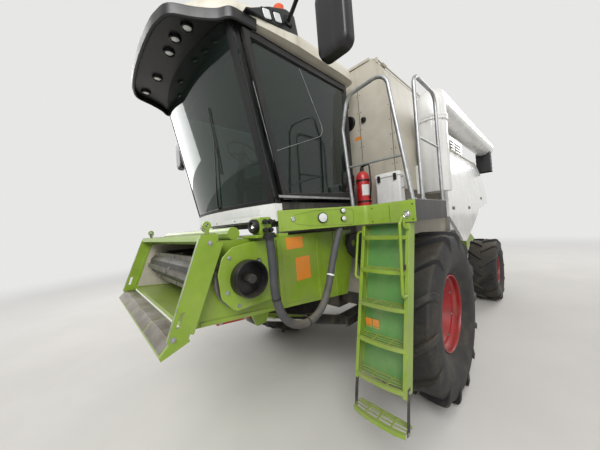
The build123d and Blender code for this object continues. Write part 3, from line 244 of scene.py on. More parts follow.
# One finish for each material slot of the record: material, two tones, roughness and the rest
SLOT_FINISHES = {
    "body_white": ("white_paint", (0.78, 0.78, 0.76), (0.70, 0.70, 0.68), 0.22,
                   dict(dust=0.5, wear=0.2, streaks=0.3, coat=0.5)),
    "tank_grey": ("tank_paint", (0.50, 0.47, 0.39), (0.42, 0.39, 0.32), 0.5,
                  dict(dust=0.5, wear=0.4, streaks=0.35)),
    "frame_grey": ("frame_paint", (0.030, 0.030, 0.031), (0.018, 0.018, 0.019), 0.5,
                   dict(dust=0.4, wear=0.5)),
    "rim_red": ("rim_paint", (0.30, 0.006, 0.010), (0.20, 0.005, 0.008), 0.34,
                dict(dust=0.2, wear=0.4, low=-0.5, high=2.4)),
    "safety_red": ("signal_red", (0.55, 0.014, 0.012), (0.42, 0.01, 0.01), 0.3,
                   dict(dust=0.35, wear=0.3, coat=0.3)),
    "tyre_rubber": ("tyre_rubber", (0.013, 0.013, 0.014), (0.007, 0.007, 0.008), 0.68,
                    dict(dust=0.32, wear=0.6, worn=(0.045, 0.041, 0.036, 1.0), streaks=0.0, bump=0.25,
                         fine=90.0, low=-0.8, high=2.2)),
    "rubber": ("black_rubber", (0.016, 0.016, 0.017), (0.010, 0.010, 0.011), 0.66,
               dict(dust=0.5, wear=0.3, worn=(0.06, 0.055, 0.05, 1.0), streaks=0.0, bump=0.2, fine=120.0)),
    "galvanised": ("galvanised", (0.46, 0.47, 0.47), (0.30, 0.31, 0.32), 0.44,
                   dict(metal=0.85, dust=0.25, wear=0.2, streaks=0.1, slow=14.0)),
    "steel": ("bare_steel", (0.30, 0.29, 0.275), (0.15, 0.135, 0.115), 0.4,
              dict(metal=0.9, dust=0.5, wear=0.7, worn=(0.5, 0.49, 0.47, 1.0), slow=7.0)),
    "rod_chrome": ("rod_chrome", (0.72, 0.72, 0.72), (0.62, 0.62, 0.62), 0.1,
                   dict(metal=1.0, dust=0.2, wear=0.0, streaks=0.05)),
    "roof_shell": ("roof_shell", (0.66, 0.63, 0.53), (0.56, 0.53, 0.44), 0.42,
                   dict(dust=0.4, wear=0.15, streaks=0.3, bump=0.12, fine=260.0)),
    "black_plastic": ("black_plastic", (0.007, 0.007, 0.008), (0.004, 0.004, 0.005), 0.34,
                      dict(dust=0.14, wear=0.15, worn=(0.05, 0.05, 0.05, 1.0), bump=0.2, fine=300.0,
                           streaks=0.05)),
    "lamp_clear": ("lamp_glass", (0.72, 0.74, 0.74), (0.60, 0.62, 0.62), 0.08,
                   dict(dust=0.15, wear=0.0, streaks=0.0, coat=1.0, bump=0.0)),
    "beacon_orange": ("beacon_lens", (0.85, 0.13, 0.012), (0.70, 0.08, 0.008), 0.12,
                      dict(dust=0.1, wear=0.0, streaks=0.0, coat=0.8)),
    "seat_fabric": ("seat_cloth", (0.03, 0.032, 0.036), (0.016, 0.017, 0.02), 0.85,
                    dict(dust=0.3, wear=0.3, bump=0.6, fine=420.0, streaks=0.0, low=0.0, high=0.1)),
    "hose_rubber": ("hose_sleeve", (0.055, 0.058, 0.064), (0.034, 0.036, 0.04), 0.6,
                    dict(dust=0.45, wear=0.4, worn=(0.12, 0.115, 0.11, 1.0), bump=0.3, fine=240.0,
                         streaks=0.0)),
}


def slot_finish(slot):
    """The material of one slot; the main paint and the glass have their own."""
    if slot == "tinted_glass":
        return glass_finish("tinted_glass")
    if slot == "chassis_green":
        look = bpy.context.scene.harvester_look
        return finish("green_paint", look.green, look.green_shade, 0.34, dust=0.55, wear=0.5, streaks=0.18,
                      coat=0.25)
    name, colour, shade, rough, rest = SLOT_FINISHES[slot]
    return finish(name, colour, shade, rough, **rest)


def glass_finish(name, tint=(0.10, 0.150, 0.132, 1.0), dusty=0.07):
    """Tinted safety glass with a thin uneven film of dust on it."""
    if name in MATERIALS:
        return MATERIALS[name]
    material = bpy.data.materials.new(name)
    material.use_nodes = True
    nodes = Tree(material.node_tree)
    shader = nodes.tree.nodes["Principled BSDF"]
    film = nodes.ramp(nodes.noise(3.4, 8.0, 0.7, warp=1.2), 0.35, 0.75, 0.02, dusty)
    tone = nodes.mix(film, tint, (0.5, 0.47, 0.4, 1.0))
    link = nodes.tree.links.new
    link(tone, shader.inputs["Base Color"])
    link(nodes.math("ADD", nodes.math("MULTIPLY", film, 0.5), 0.02), shader.inputs["Roughness"])
    shader.inputs["Transmission Weight"].default_value = 0.9
    shader.inputs["IOR"].default_value = 1.45
    MATERIALS[name] = material
    return material


def label_finish():
    """The orange of the blank plates."""
    return finish("label_orange", (0.75, 0.26, 0.03), (0.68, 0.22, 0.025), 0.4, dust=0.3)


# Shapes
class Shape:
    """Collects the faces of one piece, in metres from the front axle's ground point."""

    def __init__(self):
        self.mesh = bmesh.new()

    def ring(self, points):
        return [self.mesh.verts.new(p) for p in points]

    def skin(self, rings, closed=True, caps=True, loop=False):
        """Joins rings of equal count by faces; closed rings, caps at both ends, loop from last to first."""
        made = [self.ring(r) for r in rings]
        count = len(made[0])
        pairs = list(zip(made, made[1:])) + ([(made[-1], made[0])] if loop else [])
        for one, two in pairs:
            for i in range(count if closed else count - 1):
                j = (i + 1) % count
                self.mesh.faces.new((one[i], one[j], two[j], two[i]))
        if caps and closed and not loop:
            self.mesh.faces.new(list(reversed(made[0])))
            self.mesh.faces.new(made[-1])
        return self

    def box(self, x0, x1, y0, y1, z0, z1):
        return self.skin([[(x0, y0, z), (x1, y0, z), (x1, y1, z), (x0, y1, z)] for z in (z0, z1)])

    def slab(self, points, place, low, high):
        """A slab over a flat outline; place(a, b, t) puts its points in space."""
        return self.skin([[place(a, b, t) for a, b in points] for t in (low, high)])

    def prism(self, points, low, high, axis="y"):
        """points are x, z along y; y, z along x; or x, y along z."""
        place = {"y": lambda a, b, t: (a, t, b), "x": lambda a, b, t: (t, a, b),
                 "z": lambda a, b, t: (a, b, t)}[axis]
        return self.slab(points, place, low, high)

    def grid(self, us, vs, place, thick, holes=()):
        """A plate of the cells between lines us and vs, with some cells (i, j) left open."""
        made = {}

        def at(i, j, side):
            key = (i, j, side)
            if key not in made:
                made[key] = self.mesh.verts.new(place(us[i], vs[j], thick * side))
            return made[key]

        cells = {(i, j) for i in range(len(us) - 1) for j in range(len(vs) - 1)} - set(holes)
        for i, j in sorted(cells):
            for side in (0, 1):
                self.mesh.faces.new([at(i, j, side), at(i + 1, j, side), at(i + 1, j + 1, side),
                                     at(i, j + 1, side)])
            borders = {(i, j - 1): ((i, j), (i + 1, j)), (i, j + 1): ((i, j + 1), (i + 1, j + 1)),
                       (i - 1, j): ((i, j), (i, j + 1)), (i + 1, j): ((i + 1, j), (i + 1, j + 1))}
            for beside, (one, two) in borders.items():
                if beside not in cells:
                    self.mesh.faces.new([at(*one, 0), at(*two, 0), at(*two, 1), at(*one, 1)])
        return self

    def moulding(self, path, profile, closed=False):
        """Carries a closed profile (out, z) along a level path of (x, y); out is to the right of its way."""
        points = [Vector((p[0], p[1])) for p in path]
        count = len(points)
        rings = []
        for i, p in enumerate(points):
            ends = []
            if closed or i > 0:
                ends.append((p - points[i - 1]).normalized())
            if closed or i < count - 1:
                ends.append((points[(i + 1) % count] - p).normalized())
            along = sum(ends, Vector((0.0, 0.0))).normalized()
            reach = 1.0 / max(0.4, along.dot(ends[0]))
            out = Vector((along.y, -along.x)) * reach
            rings.append([(p.x + out.x * a, p.y + out.y * a, z) for a, z in profile])
        return self.skin(rings, caps=not closed, loop=closed)

    def tube(self, path, radius, sides=16, loop=False, caps=True):
        """A round tube along points; radius is one number or one for each point."""
        points = [Vector(p) for p in path]
        count = len(points)
        radii = radius if isinstance(radius, (list, tuple)) else [radius] * count
        rings, side = [], None
        for i, p in enumerate(points):
            if loop:
                along = points[(i + 1) % count] - points[i - 1]
            else:
                along = points[min(i + 1, count - 1)] - points[max(i - 1, 0)]
            along.normalize()
            if side is None:
                side = along.orthogonal().normalized()
            side = (side - along * side.dot(along)).normalized()
            other = along.cross(side)
            rings.append([p + radii[i] * (cos(a) * side + sin(a) * other) for a in turns(sides)])
        return self.skin(rings, caps=caps, loop=loop)

    def lathe(self, profile, centre, axis, steps=32, start=None):
        """Turns profile points (radius, along) round an axis through centre."""
        axis = Vector(axis).normalized()
        side = Vector(start).normalized() if start else axis.orthogonal().normalized()
        other = axis.cross(side)
        centre = Vector(centre)
        rings = []
        for a in turns(steps):
            out = cos(a) * side + sin(a) * other
            rings.append([centre + axis * t + out * max(r, 1e-5) for r, t in profile])
        return self.skin(rings, caps=False, loop=True)

    def bolt(self, at, axis, size=0.01, washer=True):
        """A hexagon head on a washer, lying on a face at a point."""
        axis = Vector(axis).normalized()
        if washer:
            self.lathe(rectangle(0.0, 1.7 * size, 0.0, 0.25 * size), at, axis, 16)
        self.lathe([(0.0, 0.2 * size), (1.1 * size, 0.2 * size), (1.1 * size, size),
                    (0.9 * size, size + 0.12 * size), (0.0, size + 0.12 * size)], at, axis, 6)
        return self

    def make(self, name, slot, body="chassis", replaces=None, bevel=0.0, segments=None, material=None,
             smooth=True, subdivide=0):
        """Turns the faces into an object that rides on a body and takes the finish of a slot."""
        bmesh.ops.remove_doubles(self.mesh, verts=self.mesh.verts, dist=1e-6)
        bmesh.ops.dissolve_degenerate(self.mesh, edges=self.mesh.edges, dist=1e-6)
        bmesh.ops.recalc_face_normals(self.mesh, faces=self.mesh.faces)
        data = bpy.data.meshes.new(name)
        bmesh.ops.translate(self.mesh, verts=self.mesh.verts, vec=AXLE)
        self.mesh.to_mesh(data)
        self.mesh.free()
        piece = bpy.data.objects.new(name, data)
        bpy.context.scene.collection.objects.link(piece)
        if bevel:
            modifier = piece.modifiers.new("Rounded edges", "BEVEL")
            modifier.width = bevel
            modifier.segments = segments or (1 if bevel < 0.002 else 2)
            modifier.limit_method = "ANGLE"
            modifier.angle_limit = radians(35)
            modifier.harden_normals = False
        if subdivide:
            modifier = piece.modifiers.new("Smooth form", "SUBSURF")
            modifier.levels = subdivide
            modifier.render_levels = subdivide
        if smooth:
            data.shade_smooth()
            data.set_sharp_from_angle(angle=SMOOTH_ANGLE)
        data.materials.append(material or slot_finish(slot))
        if replaces:
            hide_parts(replaces)
        if body:
            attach(piece, body)
        return piece


def arc_at(before, corner, after, radius, steps):
    """Points of the arc that rounds one corner."""
    one = (before - corner).normalized()
    two = (after - corner).normalized()
    half = one.angle(two) / 2
    reach = min(radius / tan(half), 0.49 * (before - corner).length, 0.49 * (after - corner).length)
    centre = corner + (one + two).normalized() * (reach / cos(half))
    size = reach * tan(half)
    start = (corner + one * reach - centre).normalized()
    end = (corner + two * reach - centre).normalized()
    return [centre + start.slerp(end, k / steps) * size for k in range(steps + 1)]


def rounded(points, radius, steps=6, loop=False):
    """A path whose corners are rounded by arcs."""
    points = [Vector(p) for p in points]
    count = len(points)
    path = [] if loop else [points[0]]
    for i in range(count):
        if loop or 0 < i < count - 1:
            path += arc_at(points[i - 1], points[i], points[(i + 1) % count], radius, steps)
    return path if loop else path + [points[-1]]


def flat_rounded(points, radius, steps=5):
    """A rounded closed outline of flat coordinates."""
    return [(p.x, p.y) for p in rounded([(a, b, 0.0) for a, b in points], radius, steps, loop=True)]


def rectangle(a0, a1, b0, b1):
    """Four corners of flat coordinates: a panel's outline, or a plain ring's or disc's section."""
    return [(a0, b0), (a1, b0), (a1, b1), (a0, b1)]


def rounded_box(a0, a1, b0, b1, radius, steps=5):
    """A rectangle with rounded corners."""
    return flat_rounded(rectangle(a0, a1, b0, b1), radius, steps)


def turns(count):
    """Angles that share one full turn evenly."""
    return [2 * pi * k / count for k in range(count)]


def smooth_line(points, steps=6):
    """A soft line through flat points."""
    line = []
    ends = [points[0], *points, points[-1]]
    for a, b, c, d in zip(ends, ends[1:], ends[2:], ends[3:]):
        for k in range(steps):
            t = k / steps
            line.append(tuple(0.5 * (2 * q + (r - p) * t + (2 * p - 5 * q + 4 * r - s) * t * t
                                     + (3 * q - p - 3 * r + s) * t ** 3) for p, q, r, s in zip(a, b, c, d)))
    return line + [points[-1]]


def between(table, value):
    """Reads a table of (place, size) pairs at any place."""
    for (a, p), (b, q) in zip(table, table[1:]):
        if value <= b:
            return p + (q - p) * max(0.0, value - a) / (b - a)
    return table[-1][1]


def node_box(name):
    """Corners of a node, from the front axle's ground point."""
    low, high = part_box(name)
    return low - AXLE, high - AXLE


# each side's name and the way that y grows outward there
SIDES = (("left", 1), ("right", -1))
OUTWARD = (1, -1)
# outer face of a side panel: centre y, centre z and radius of its arc
PANEL_ARC = (-1.0327, 2.0903, 2.5877)


# Stage: floor, light and the photograph's camera
CAMERA_PLACE = (2.9132, 2.3392, 1.9953)
CAMERA_YAW = 0.817
CAMERA_PITCH = 0.0012
CAMERA_ROLL = 0.0789
PHOTO_WIDTH = 600
FOCAL_PIXELS = 231.85
SENSOR = 36.0
# name, place, size and watts of each light, and the point in the machine's middle that all face
LIGHTS = (("Key light", (9.0, 6.0, 8.5), 6.0, 950.0), ("Fill light", (4.0, -9.0, 7.0), 7.0, 420.0),
          ("Rear light", (-10.0, 4.0, 8.0), 6.0, 520.0))
LIGHTS_AIM = Vector((0.5, 0.0, 1.6))


class StageLook(PropertyGroup):
    floor: FloatVectorProperty(name="Floor", description="Colour of the floor", default=(0.62, 0.60, 0.57),
                               subtype="COLOR", size=3)
    backdrop: FloatVectorProperty(name="Backdrop", description="Colour behind the machine",
                                  default=(0.80, 0.80, 0.79), subtype="COLOR", size=3)
    daylight: FloatProperty(name="Daylight", description="Strength of the soft light from all round",
                            default=0.55)


class HarvesterLook(PropertyGroup):
    green: FloatVectorProperty(name="Green", description="Main paint of the chassis",
                               default=(0.235, 0.365, 0.026), subtype="COLOR", size=3)
    green_shade: FloatVectorProperty(name="Green shade", description="Darker tone of the main paint",
                                     default=(0.185, 0.295, 0.018), subtype="COLOR", size=3)
    hose_diameter: FloatProperty(name="Hose diameter", description="Outer diameter of the hose bundle",
                                 default=0.060, unit="LENGTH")


class HARVESTER_OT_stage(Operator):
    """Sets up the pale floor, the soft lights and the camera"""
    bl_idname = "harvester.stage"
    bl_label = "Stage"

    def execute(self, context):
        look = context.scene.harvester_stage
        context.scene.view_settings.view_transform = "Standard"
        self.make_floor(look)
        self.make_world(context, look)
        for name, place, size, watts in LIGHTS:
            lamp = bpy.data.lights.new(name, "AREA")
            lamp.energy = watts
            lamp.size = size
            holder = bpy.data.objects.new(name, lamp)
            holder.location = place
            holder.rotation_euler = (LIGHTS_AIM - Vector(place)).to_track_quat("-Z", "Y").to_euler()
            context.scene.collection.objects.link(holder)
        self.make_camera(context)
        return {"FINISHED"}

    def make_floor(self, look):
        """A wide disc that fades into the backdrop far off."""
        shape = bmesh.new()
        bmesh.ops.create_circle(shape, cap_ends=True, segments=96, radius=90.0)
        data = bpy.data.meshes.new("floor")
        shape.to_mesh(data)
        shape.free()
        floor = bpy.data.objects.new("floor", data)
        bpy.context.scene.collection.objects.link(floor)
        material = bpy.data.materials.new("pale_floor")
        material.use_nodes = True
        nodes = Tree(material.node_tree)
        shader = nodes.tree.nodes["Principled BSDF"]
        patches = nodes.ramp(nodes.noise(0.8, 6.0, 0.6), 0.3, 0.7, 0.94, 1.0)
        tone = nodes.mix(1.0, tuple(look.floor) + (1.0,), patches, blend="MULTIPLY")
        nodes.tree.links.new(tone, shader.inputs["Base Color"])
        shader.inputs["Roughness"].default_value = 0.85
        # far from the machine the floor takes the backdrop's colour, so that no horizon shows
        place = nodes.add("ShaderNodeTexCoord").outputs["Object"]
        away = nodes.add("ShaderNodeVectorMath", {0: place}, operation="LENGTH").outputs["Value"]
        seen = nodes.add("ShaderNodeLightPath").outputs["Is Camera Ray"]
        share = nodes.math("MULTIPLY", nodes.ramp(away, 5.0, 19.0), seen)
        glow = nodes.add("ShaderNodeEmission", {"Color": tuple(look.backdrop) + (1.0,), "Strength": 1.0})
        both = nodes.add("ShaderNodeMixShader", {0: share, 1: shader.outputs[0], 2: glow.outputs[0]})
        nodes.tree.links.new(both.outputs[0], nodes.tree.nodes["Material Output"].inputs["Surface"])
        data.materials.append(material)

    def make_world(self, context, look):
        """Soft light from all round, with the backdrop behind it."""
        world = bpy.data.worlds.new("studio")
        world.use_nodes = True
        context.scene.world = world
        nodes = Tree(world.node_tree)
        nodes.tree.nodes.clear()
        rays = nodes.add("ShaderNodeLightPath").outputs
        seen = nodes.math("MAXIMUM", nodes.math("MAXIMUM", rays["Is Camera Ray"], rays["Is Glossy Ray"]),
                          rays["Is Transmission Ray"])
        light = nodes.add("ShaderNodeBackground", {"Color": (1.0, 1.0, 1.0, 1.0), "Strength": look.daylight})
        behind = nodes.add("ShaderNodeBackground", {"Color": tuple(look.backdrop) + (1.0,), "Strength": 1.0})
        both = nodes.add("ShaderNodeMixShader", {0: seen, 1: light.outputs[0], 2: behind.outputs[0]})
        nodes.add("ShaderNodeOutputWorld", {"Surface": both.outputs[0]})

    def make_camera(self, context):
        """The camera that took the photograph, as solved from it."""
        camera = bpy.data.cameras.new("camera")
        camera.sensor_width = SENSOR
        camera.lens = FOCAL_PIXELS / PHOTO_WIDTH * SENSOR
        camera.clip_start = 0.05
        camera.clip_end = 400.0
        ahead = Vector((-cos(CAMERA_YAW) * cos(CAMERA_PITCH), -sin(CAMERA_YAW) * cos(CAMERA_PITCH),
                        sin(CAMERA_PITCH)))
        level = ahead.cross(Vector((0.0, 0.0, 1.0))).normalized()
        upward = level.cross(ahead)
        right = cos(CAMERA_ROLL) * level - sin(CAMERA_ROLL) * upward
        top = sin(CAMERA_ROLL) * level + cos(CAMERA_ROLL) * upward
        turn = Matrix((right, top, -ahead)).transposed().to_4x4()
        holder = bpy.data.objects.new("camera", camera)
        holder.matrix_world = Matrix.Translation(Vector(CAMERA_PLACE) + AXLE) @ turn
        context.scene.collection.objects.link(holder)
        context.scene.camera = holder


class HARVESTER_OT_paint(Operator):
    """Gives each carried-over piece the finish of its slot"""
    bl_idname = "harvester.paint"
    bl_label = "Paint"

    def execute(self, context):
        slots = {part["node"]: part["material_slot"] for part in frame["record"]["subparts"]}
        dark_steel = finish("chain_steel", (0.045, 0.042, 0.038), (0.020, 0.019, 0.017), 0.42, metal=0.6,
                            dust=0.25, wear=0.8, worn=(0.34, 0.33, 0.31, 1.0))
        for name, piece in frame["nodes"].items():
            piece.data.materials.clear()
            piece.data.materials.append(dark_steel if name == "feeder_chain" else slot_finish(slots[name]))
            piece.data.set_sharp_from_angle(angle=SMOOTH_ANGLE)
        return {"FINISHED"}


# Hose bundle: x, z in metres at y = HOSE_Y, from the fascia down and up to the multicoupler
HOSE_Y = 1.062
HOSE_ROUTE = [(1.225, 1.940), (1.330, 1.768), (1.440, 1.458), (1.556, 1.292), (1.750, 1.244), (1.925, 1.335),
              (1.998, 1.520), (1.990, 1.740), (2.004, 1.930)]
HOSE_TIES = (0.17, 0.47, 0.78)


def nurbs_points(route, steps):
    """Points along the NURBS curve of order 3 that has these control points."""
    data = bpy.data.curves.new("route", "CURVE")
    data.dimensions = "3D"
    data.resolution_u = steps
    spline = data.splines.new("NURBS")
    spline.points.add(len(route) - 1)
    for point, place in zip(spline.points, route):
        point.co = (*place, 1.0)
    spline.order_u = 3
    spline.use_endpoint_u = True
    holder = bpy.data.objects.new("route", data)
    bpy.context.scene.collection.objects.link(holder)
    bpy.context.view_layer.update()
    line = bpy.data.meshes.new_from_object(holder)
    points = [v.co.copy() for v in line.vertices]
    bpy.data.objects.remove(holder)
    bpy.data.curves.remove(data)
    bpy.data.meshes.remove(line)
    return points


class HARVESTER_OT_hose(Operator):
    """Hangs the hose bundle between the fascia and the feeder's coupler"""
    bl_idname = "harvester.hose"
    bl_label = "Hose"

    def execute(self, context):
        look = context.scene.harvester_look
        radius = look.hose_diameter / 2
        route = [Vector((x, HOSE_Y, z)) for x, z in HOSE_ROUTE]
        points = nurbs_points(route, 40)
        # the sleeve is ribbed: every third ring is a little smaller
        ribs = [radius - (0.0016 if i % 3 == 2 else 0.0) for i in range(len(points))]
        sleeve = Shape().tube(points, ribs, 20)
        hose = sleeve.make("hose_bundle", "hose_rubber", None, replaces="hydraulic_hose")
        ties = []
        for k, share in enumerate(HOSE_TIES):
            i = int(share * (len(points) - 1))
            along = (points[i + 1] - points[i]).normalized()
            band = Shape().lathe(rectangle(radius, radius + 0.002, -0.007, 0.007), points[i], along, 28)
            slot = "body_white" if k == 0 else "black_plastic"
            ties.append(band.make(f"hose_tie_{k + 1}", slot, None))
        for piece in (hose, *ties):
            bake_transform(piece)
        return {"FINISHED"}


# Wheels: name, rim radius, lugs, lug height, hub radius, hub's outer end, dish's edge, dish
WHEELS = (("front", 0.415, 14, 0.055, 0.130, 0.130, 0.170, 0.060),
          ("rear", 0.330, 12, 0.042, 0.100, 0.110, 0.120, 0.040))
LUG_LEAN = 0.42
LUG_BAR = 0.075
HUB_NUTS = 10
RIM_NUTS = 8


def wheel_place(name, side):
    """Centre, radius and width of a wheel, read from its tyre's box."""
    low, high = node_box(f"tyre_{name}_{side}")
    return (low + high) / 2, (high.z - low.z) / 2, high.y - low.y


class HARVESTER_OT_tyres(Operator):
    """Moulds the four tyres with their leaning lugs"""
    bl_idname = "harvester.tyres"
    bl_label = "Tyres"

    def execute(self, context):
        for name, rim_radius, lugs, lug_height, *_ in WHEELS:
            for side, out in SIDES:
                centre, radius, width = wheel_place(name, side)
                tyre = Shape()
                self.carcass(tyre, centre, radius, width, rim_radius, lug_height)
                for row, start in ((1, 0.0), (-1, 0.5)):
                    for i in range(lugs):
                        turn = (i + start - 0.25) * 2 * pi / lugs
                        self.lug(tyre, centre, radius, width, lug_height, turn, row * out)
                tyre.make(f"tread_{name}_{side}", "tyre_rubber", f"wheel_{name}_{side}",
                          replaces=f"tyre_{name}_{side}", bevel=0.006)
        return {"FINISHED"}

    def carcass(self, tyre, centre, radius, width, rim_radius, lug_height):
        """The casing under the lugs, turned from bead to bead."""
        root = radius - lug_height
        wall = root - rim_radius
        half = [(rim_radius, 0.350), (rim_radius + 0.012, 0.372), (rim_radius + 0.10 * wall, 0.392),
                (rim_radius + 0.30 * wall, 0.462), (rim_radius + 0.55 * wall, 0.4965),
                (rim_radius + 0.78 * wall, 0.486), (rim_radius + 0.93 * wall, 0.458), (root - 0.004, 0.425),
                (root, 0.36), (root + 0.002, 0.0)]
        half = smooth_line([(r, t * width) for r, t in half], 3)
        tyre.lathe(half + [(r, -t) for r, t in reversed(half[:-1])], centre, LEFT, 96, start=AHEAD)

    def lug(self, tyre, centre, radius, width, lug_height, turn, row):
        """One bar from the tread's middle, leaning, over the shoulder; row is the side that it lies on."""
        root = radius - lug_height
        half_bar = LUG_BAR * radius / 2
        # share of the width, foot below the root, top below the radius
        stations = ((-0.015, 0.012, 0.004), (0.02, 0.012, 0.0), (0.15, 0.012, 0.0), (0.30, 0.012, 0.0),
                    (0.40, 0.012, 0.002), (0.455, 0.05, 0.016), (0.485, 0.10, 0.040), (0.499, 0.15, 0.085))
        rings = []
        for share, foot, drop in stations:
            lean = LUG_LEAN * width * (share / 0.5 - 0.5)
            ring = []
            for r, half in ((root - foot, 1.35), (radius - drop, 1.0)):
                for sign in ((-1, 1) if half > 1.2 else (1, -1)):
                    angle = turn + (lean + sign * half * half_bar) / radius
                    ring.append(centre + Vector((r * cos(angle), row * share * width, r * sin(angle))))
            rings.append(ring)
        tyre.skin(rings)


class HARVESTER_OT_rims(Operator):
    """Presses the four rims with their hubs and nuts"""
    bl_idname = "harvester.rims"
    bl_label = "Rims"

    def execute(self, context):
        for name, rim_radius, _, _, hub, hub_out, dish_rim, dish in WHEELS:
            for side, out in SIDES:
                centre, _, width = wheel_place(name, side)
                axis = (0, out, 0)
                body = f"wheel_{name}_{side}"
                edge = 0.36 * width + 0.013
                outer = rim_radius - 0.001
                low, high = node_box(f"rim_{name}_{side}")
                inner_end = (centre.y - low.y) if out > 0 else (high.y - centre.y)
                rim = Shape().lathe(
                    [(outer - 0.018, -edge), (outer, -edge), (outer, edge - 0.004), (outer - 0.004, edge),
                     (outer - 0.014, edge), (outer - 0.020, edge - 0.012), (outer - 0.016, edge - 0.05),
                     (outer - 0.030, dish_rim + 0.03), (outer - 0.044, dish_rim + 0.004),
                     (outer - 0.075, dish_rim - 0.006), (2 * hub + 0.02, dish + 0.006),
                     (2 * hub - 0.01, dish), (hub + 0.004, dish), (hub - 0.012, dish - 0.022),
                     (2 * hub, dish - 0.022), (outer - 0.07, dish_rim - 0.032),
                     (outer - 0.034, dish_rim - 0.026), (outer - 0.024, dish_rim - 0.05)], centre, axis, 72)
                rim.lathe([(hub * 0.55, -inner_end), (hub, -inner_end), (hub, hub_out - 0.028),
                           (hub - 0.008, hub_out - 0.016), (hub * 0.72, hub_out - 0.010),
                           (hub * 0.62, hub_out), (0.0, hub_out), (0.0, 0.05), (hub * 0.55, 0.05)], centre,
                          axis, 48)
                rim.make(f"disc_{name}_{side}", "rim_red", body, replaces=f"rim_{name}_{side}", bevel=0.0015)
                nuts = Shape()
                for turn in turns(HUB_NUTS):
                    away = Vector((cos(turn), 0.0, sin(turn))) * (hub + 0.045)
                    nuts.bolt(centre + away + Vector((0, out * dish, 0)), axis, 0.013)
                for i in range(RIM_NUTS):
                    turn = 2 * pi * (i + 0.5) / RIM_NUTS
                    away = Vector((cos(turn), 0.0, sin(turn))) * (outer - 0.068)
                    nuts.bolt(centre + away + Vector((0, out * (dish_rim - 0.008), 0)), axis, 0.011)
                nuts.lathe([(0.0, hub_out), (0.042, hub_out), (0.040, hub_out), (0.036, hub_out + 0.012),
                            (0.016, hub_out + 0.016), (0.0, hub_out + 0.016)], centre, axis, 24)
                nuts.make(f"nuts_{name}_{side}", "galvanised", body, bevel=0.0008)
        return {"FINISHED"}


# Ladder
LADDER_RIGHT = 1.167
LADDER_LEFT = 1.592
LADDER_DEPTH = 0.110
LADDER_TOP = 1.945
LADDER_BOTTOM = 0.700
LADDER_PITCH = 0.275
LADDER_PIVOT = (0.754, 1.414)
LADDER_SLOPE = 0.2365
LADDER_LOOP_Y = LADDER_LEFT - 0.012
TREADS = 5
FIRST_TREAD_X = 1.048
FIRST_TREAD_Z = 1.850
HUNG_STEP_Z = 0.490


def ladder_x(z):
    """Front of the ladder at a height."""
    return FIRST_TREAD_X + LADDER_SLOPE * (FIRST_TREAD_Z - z)


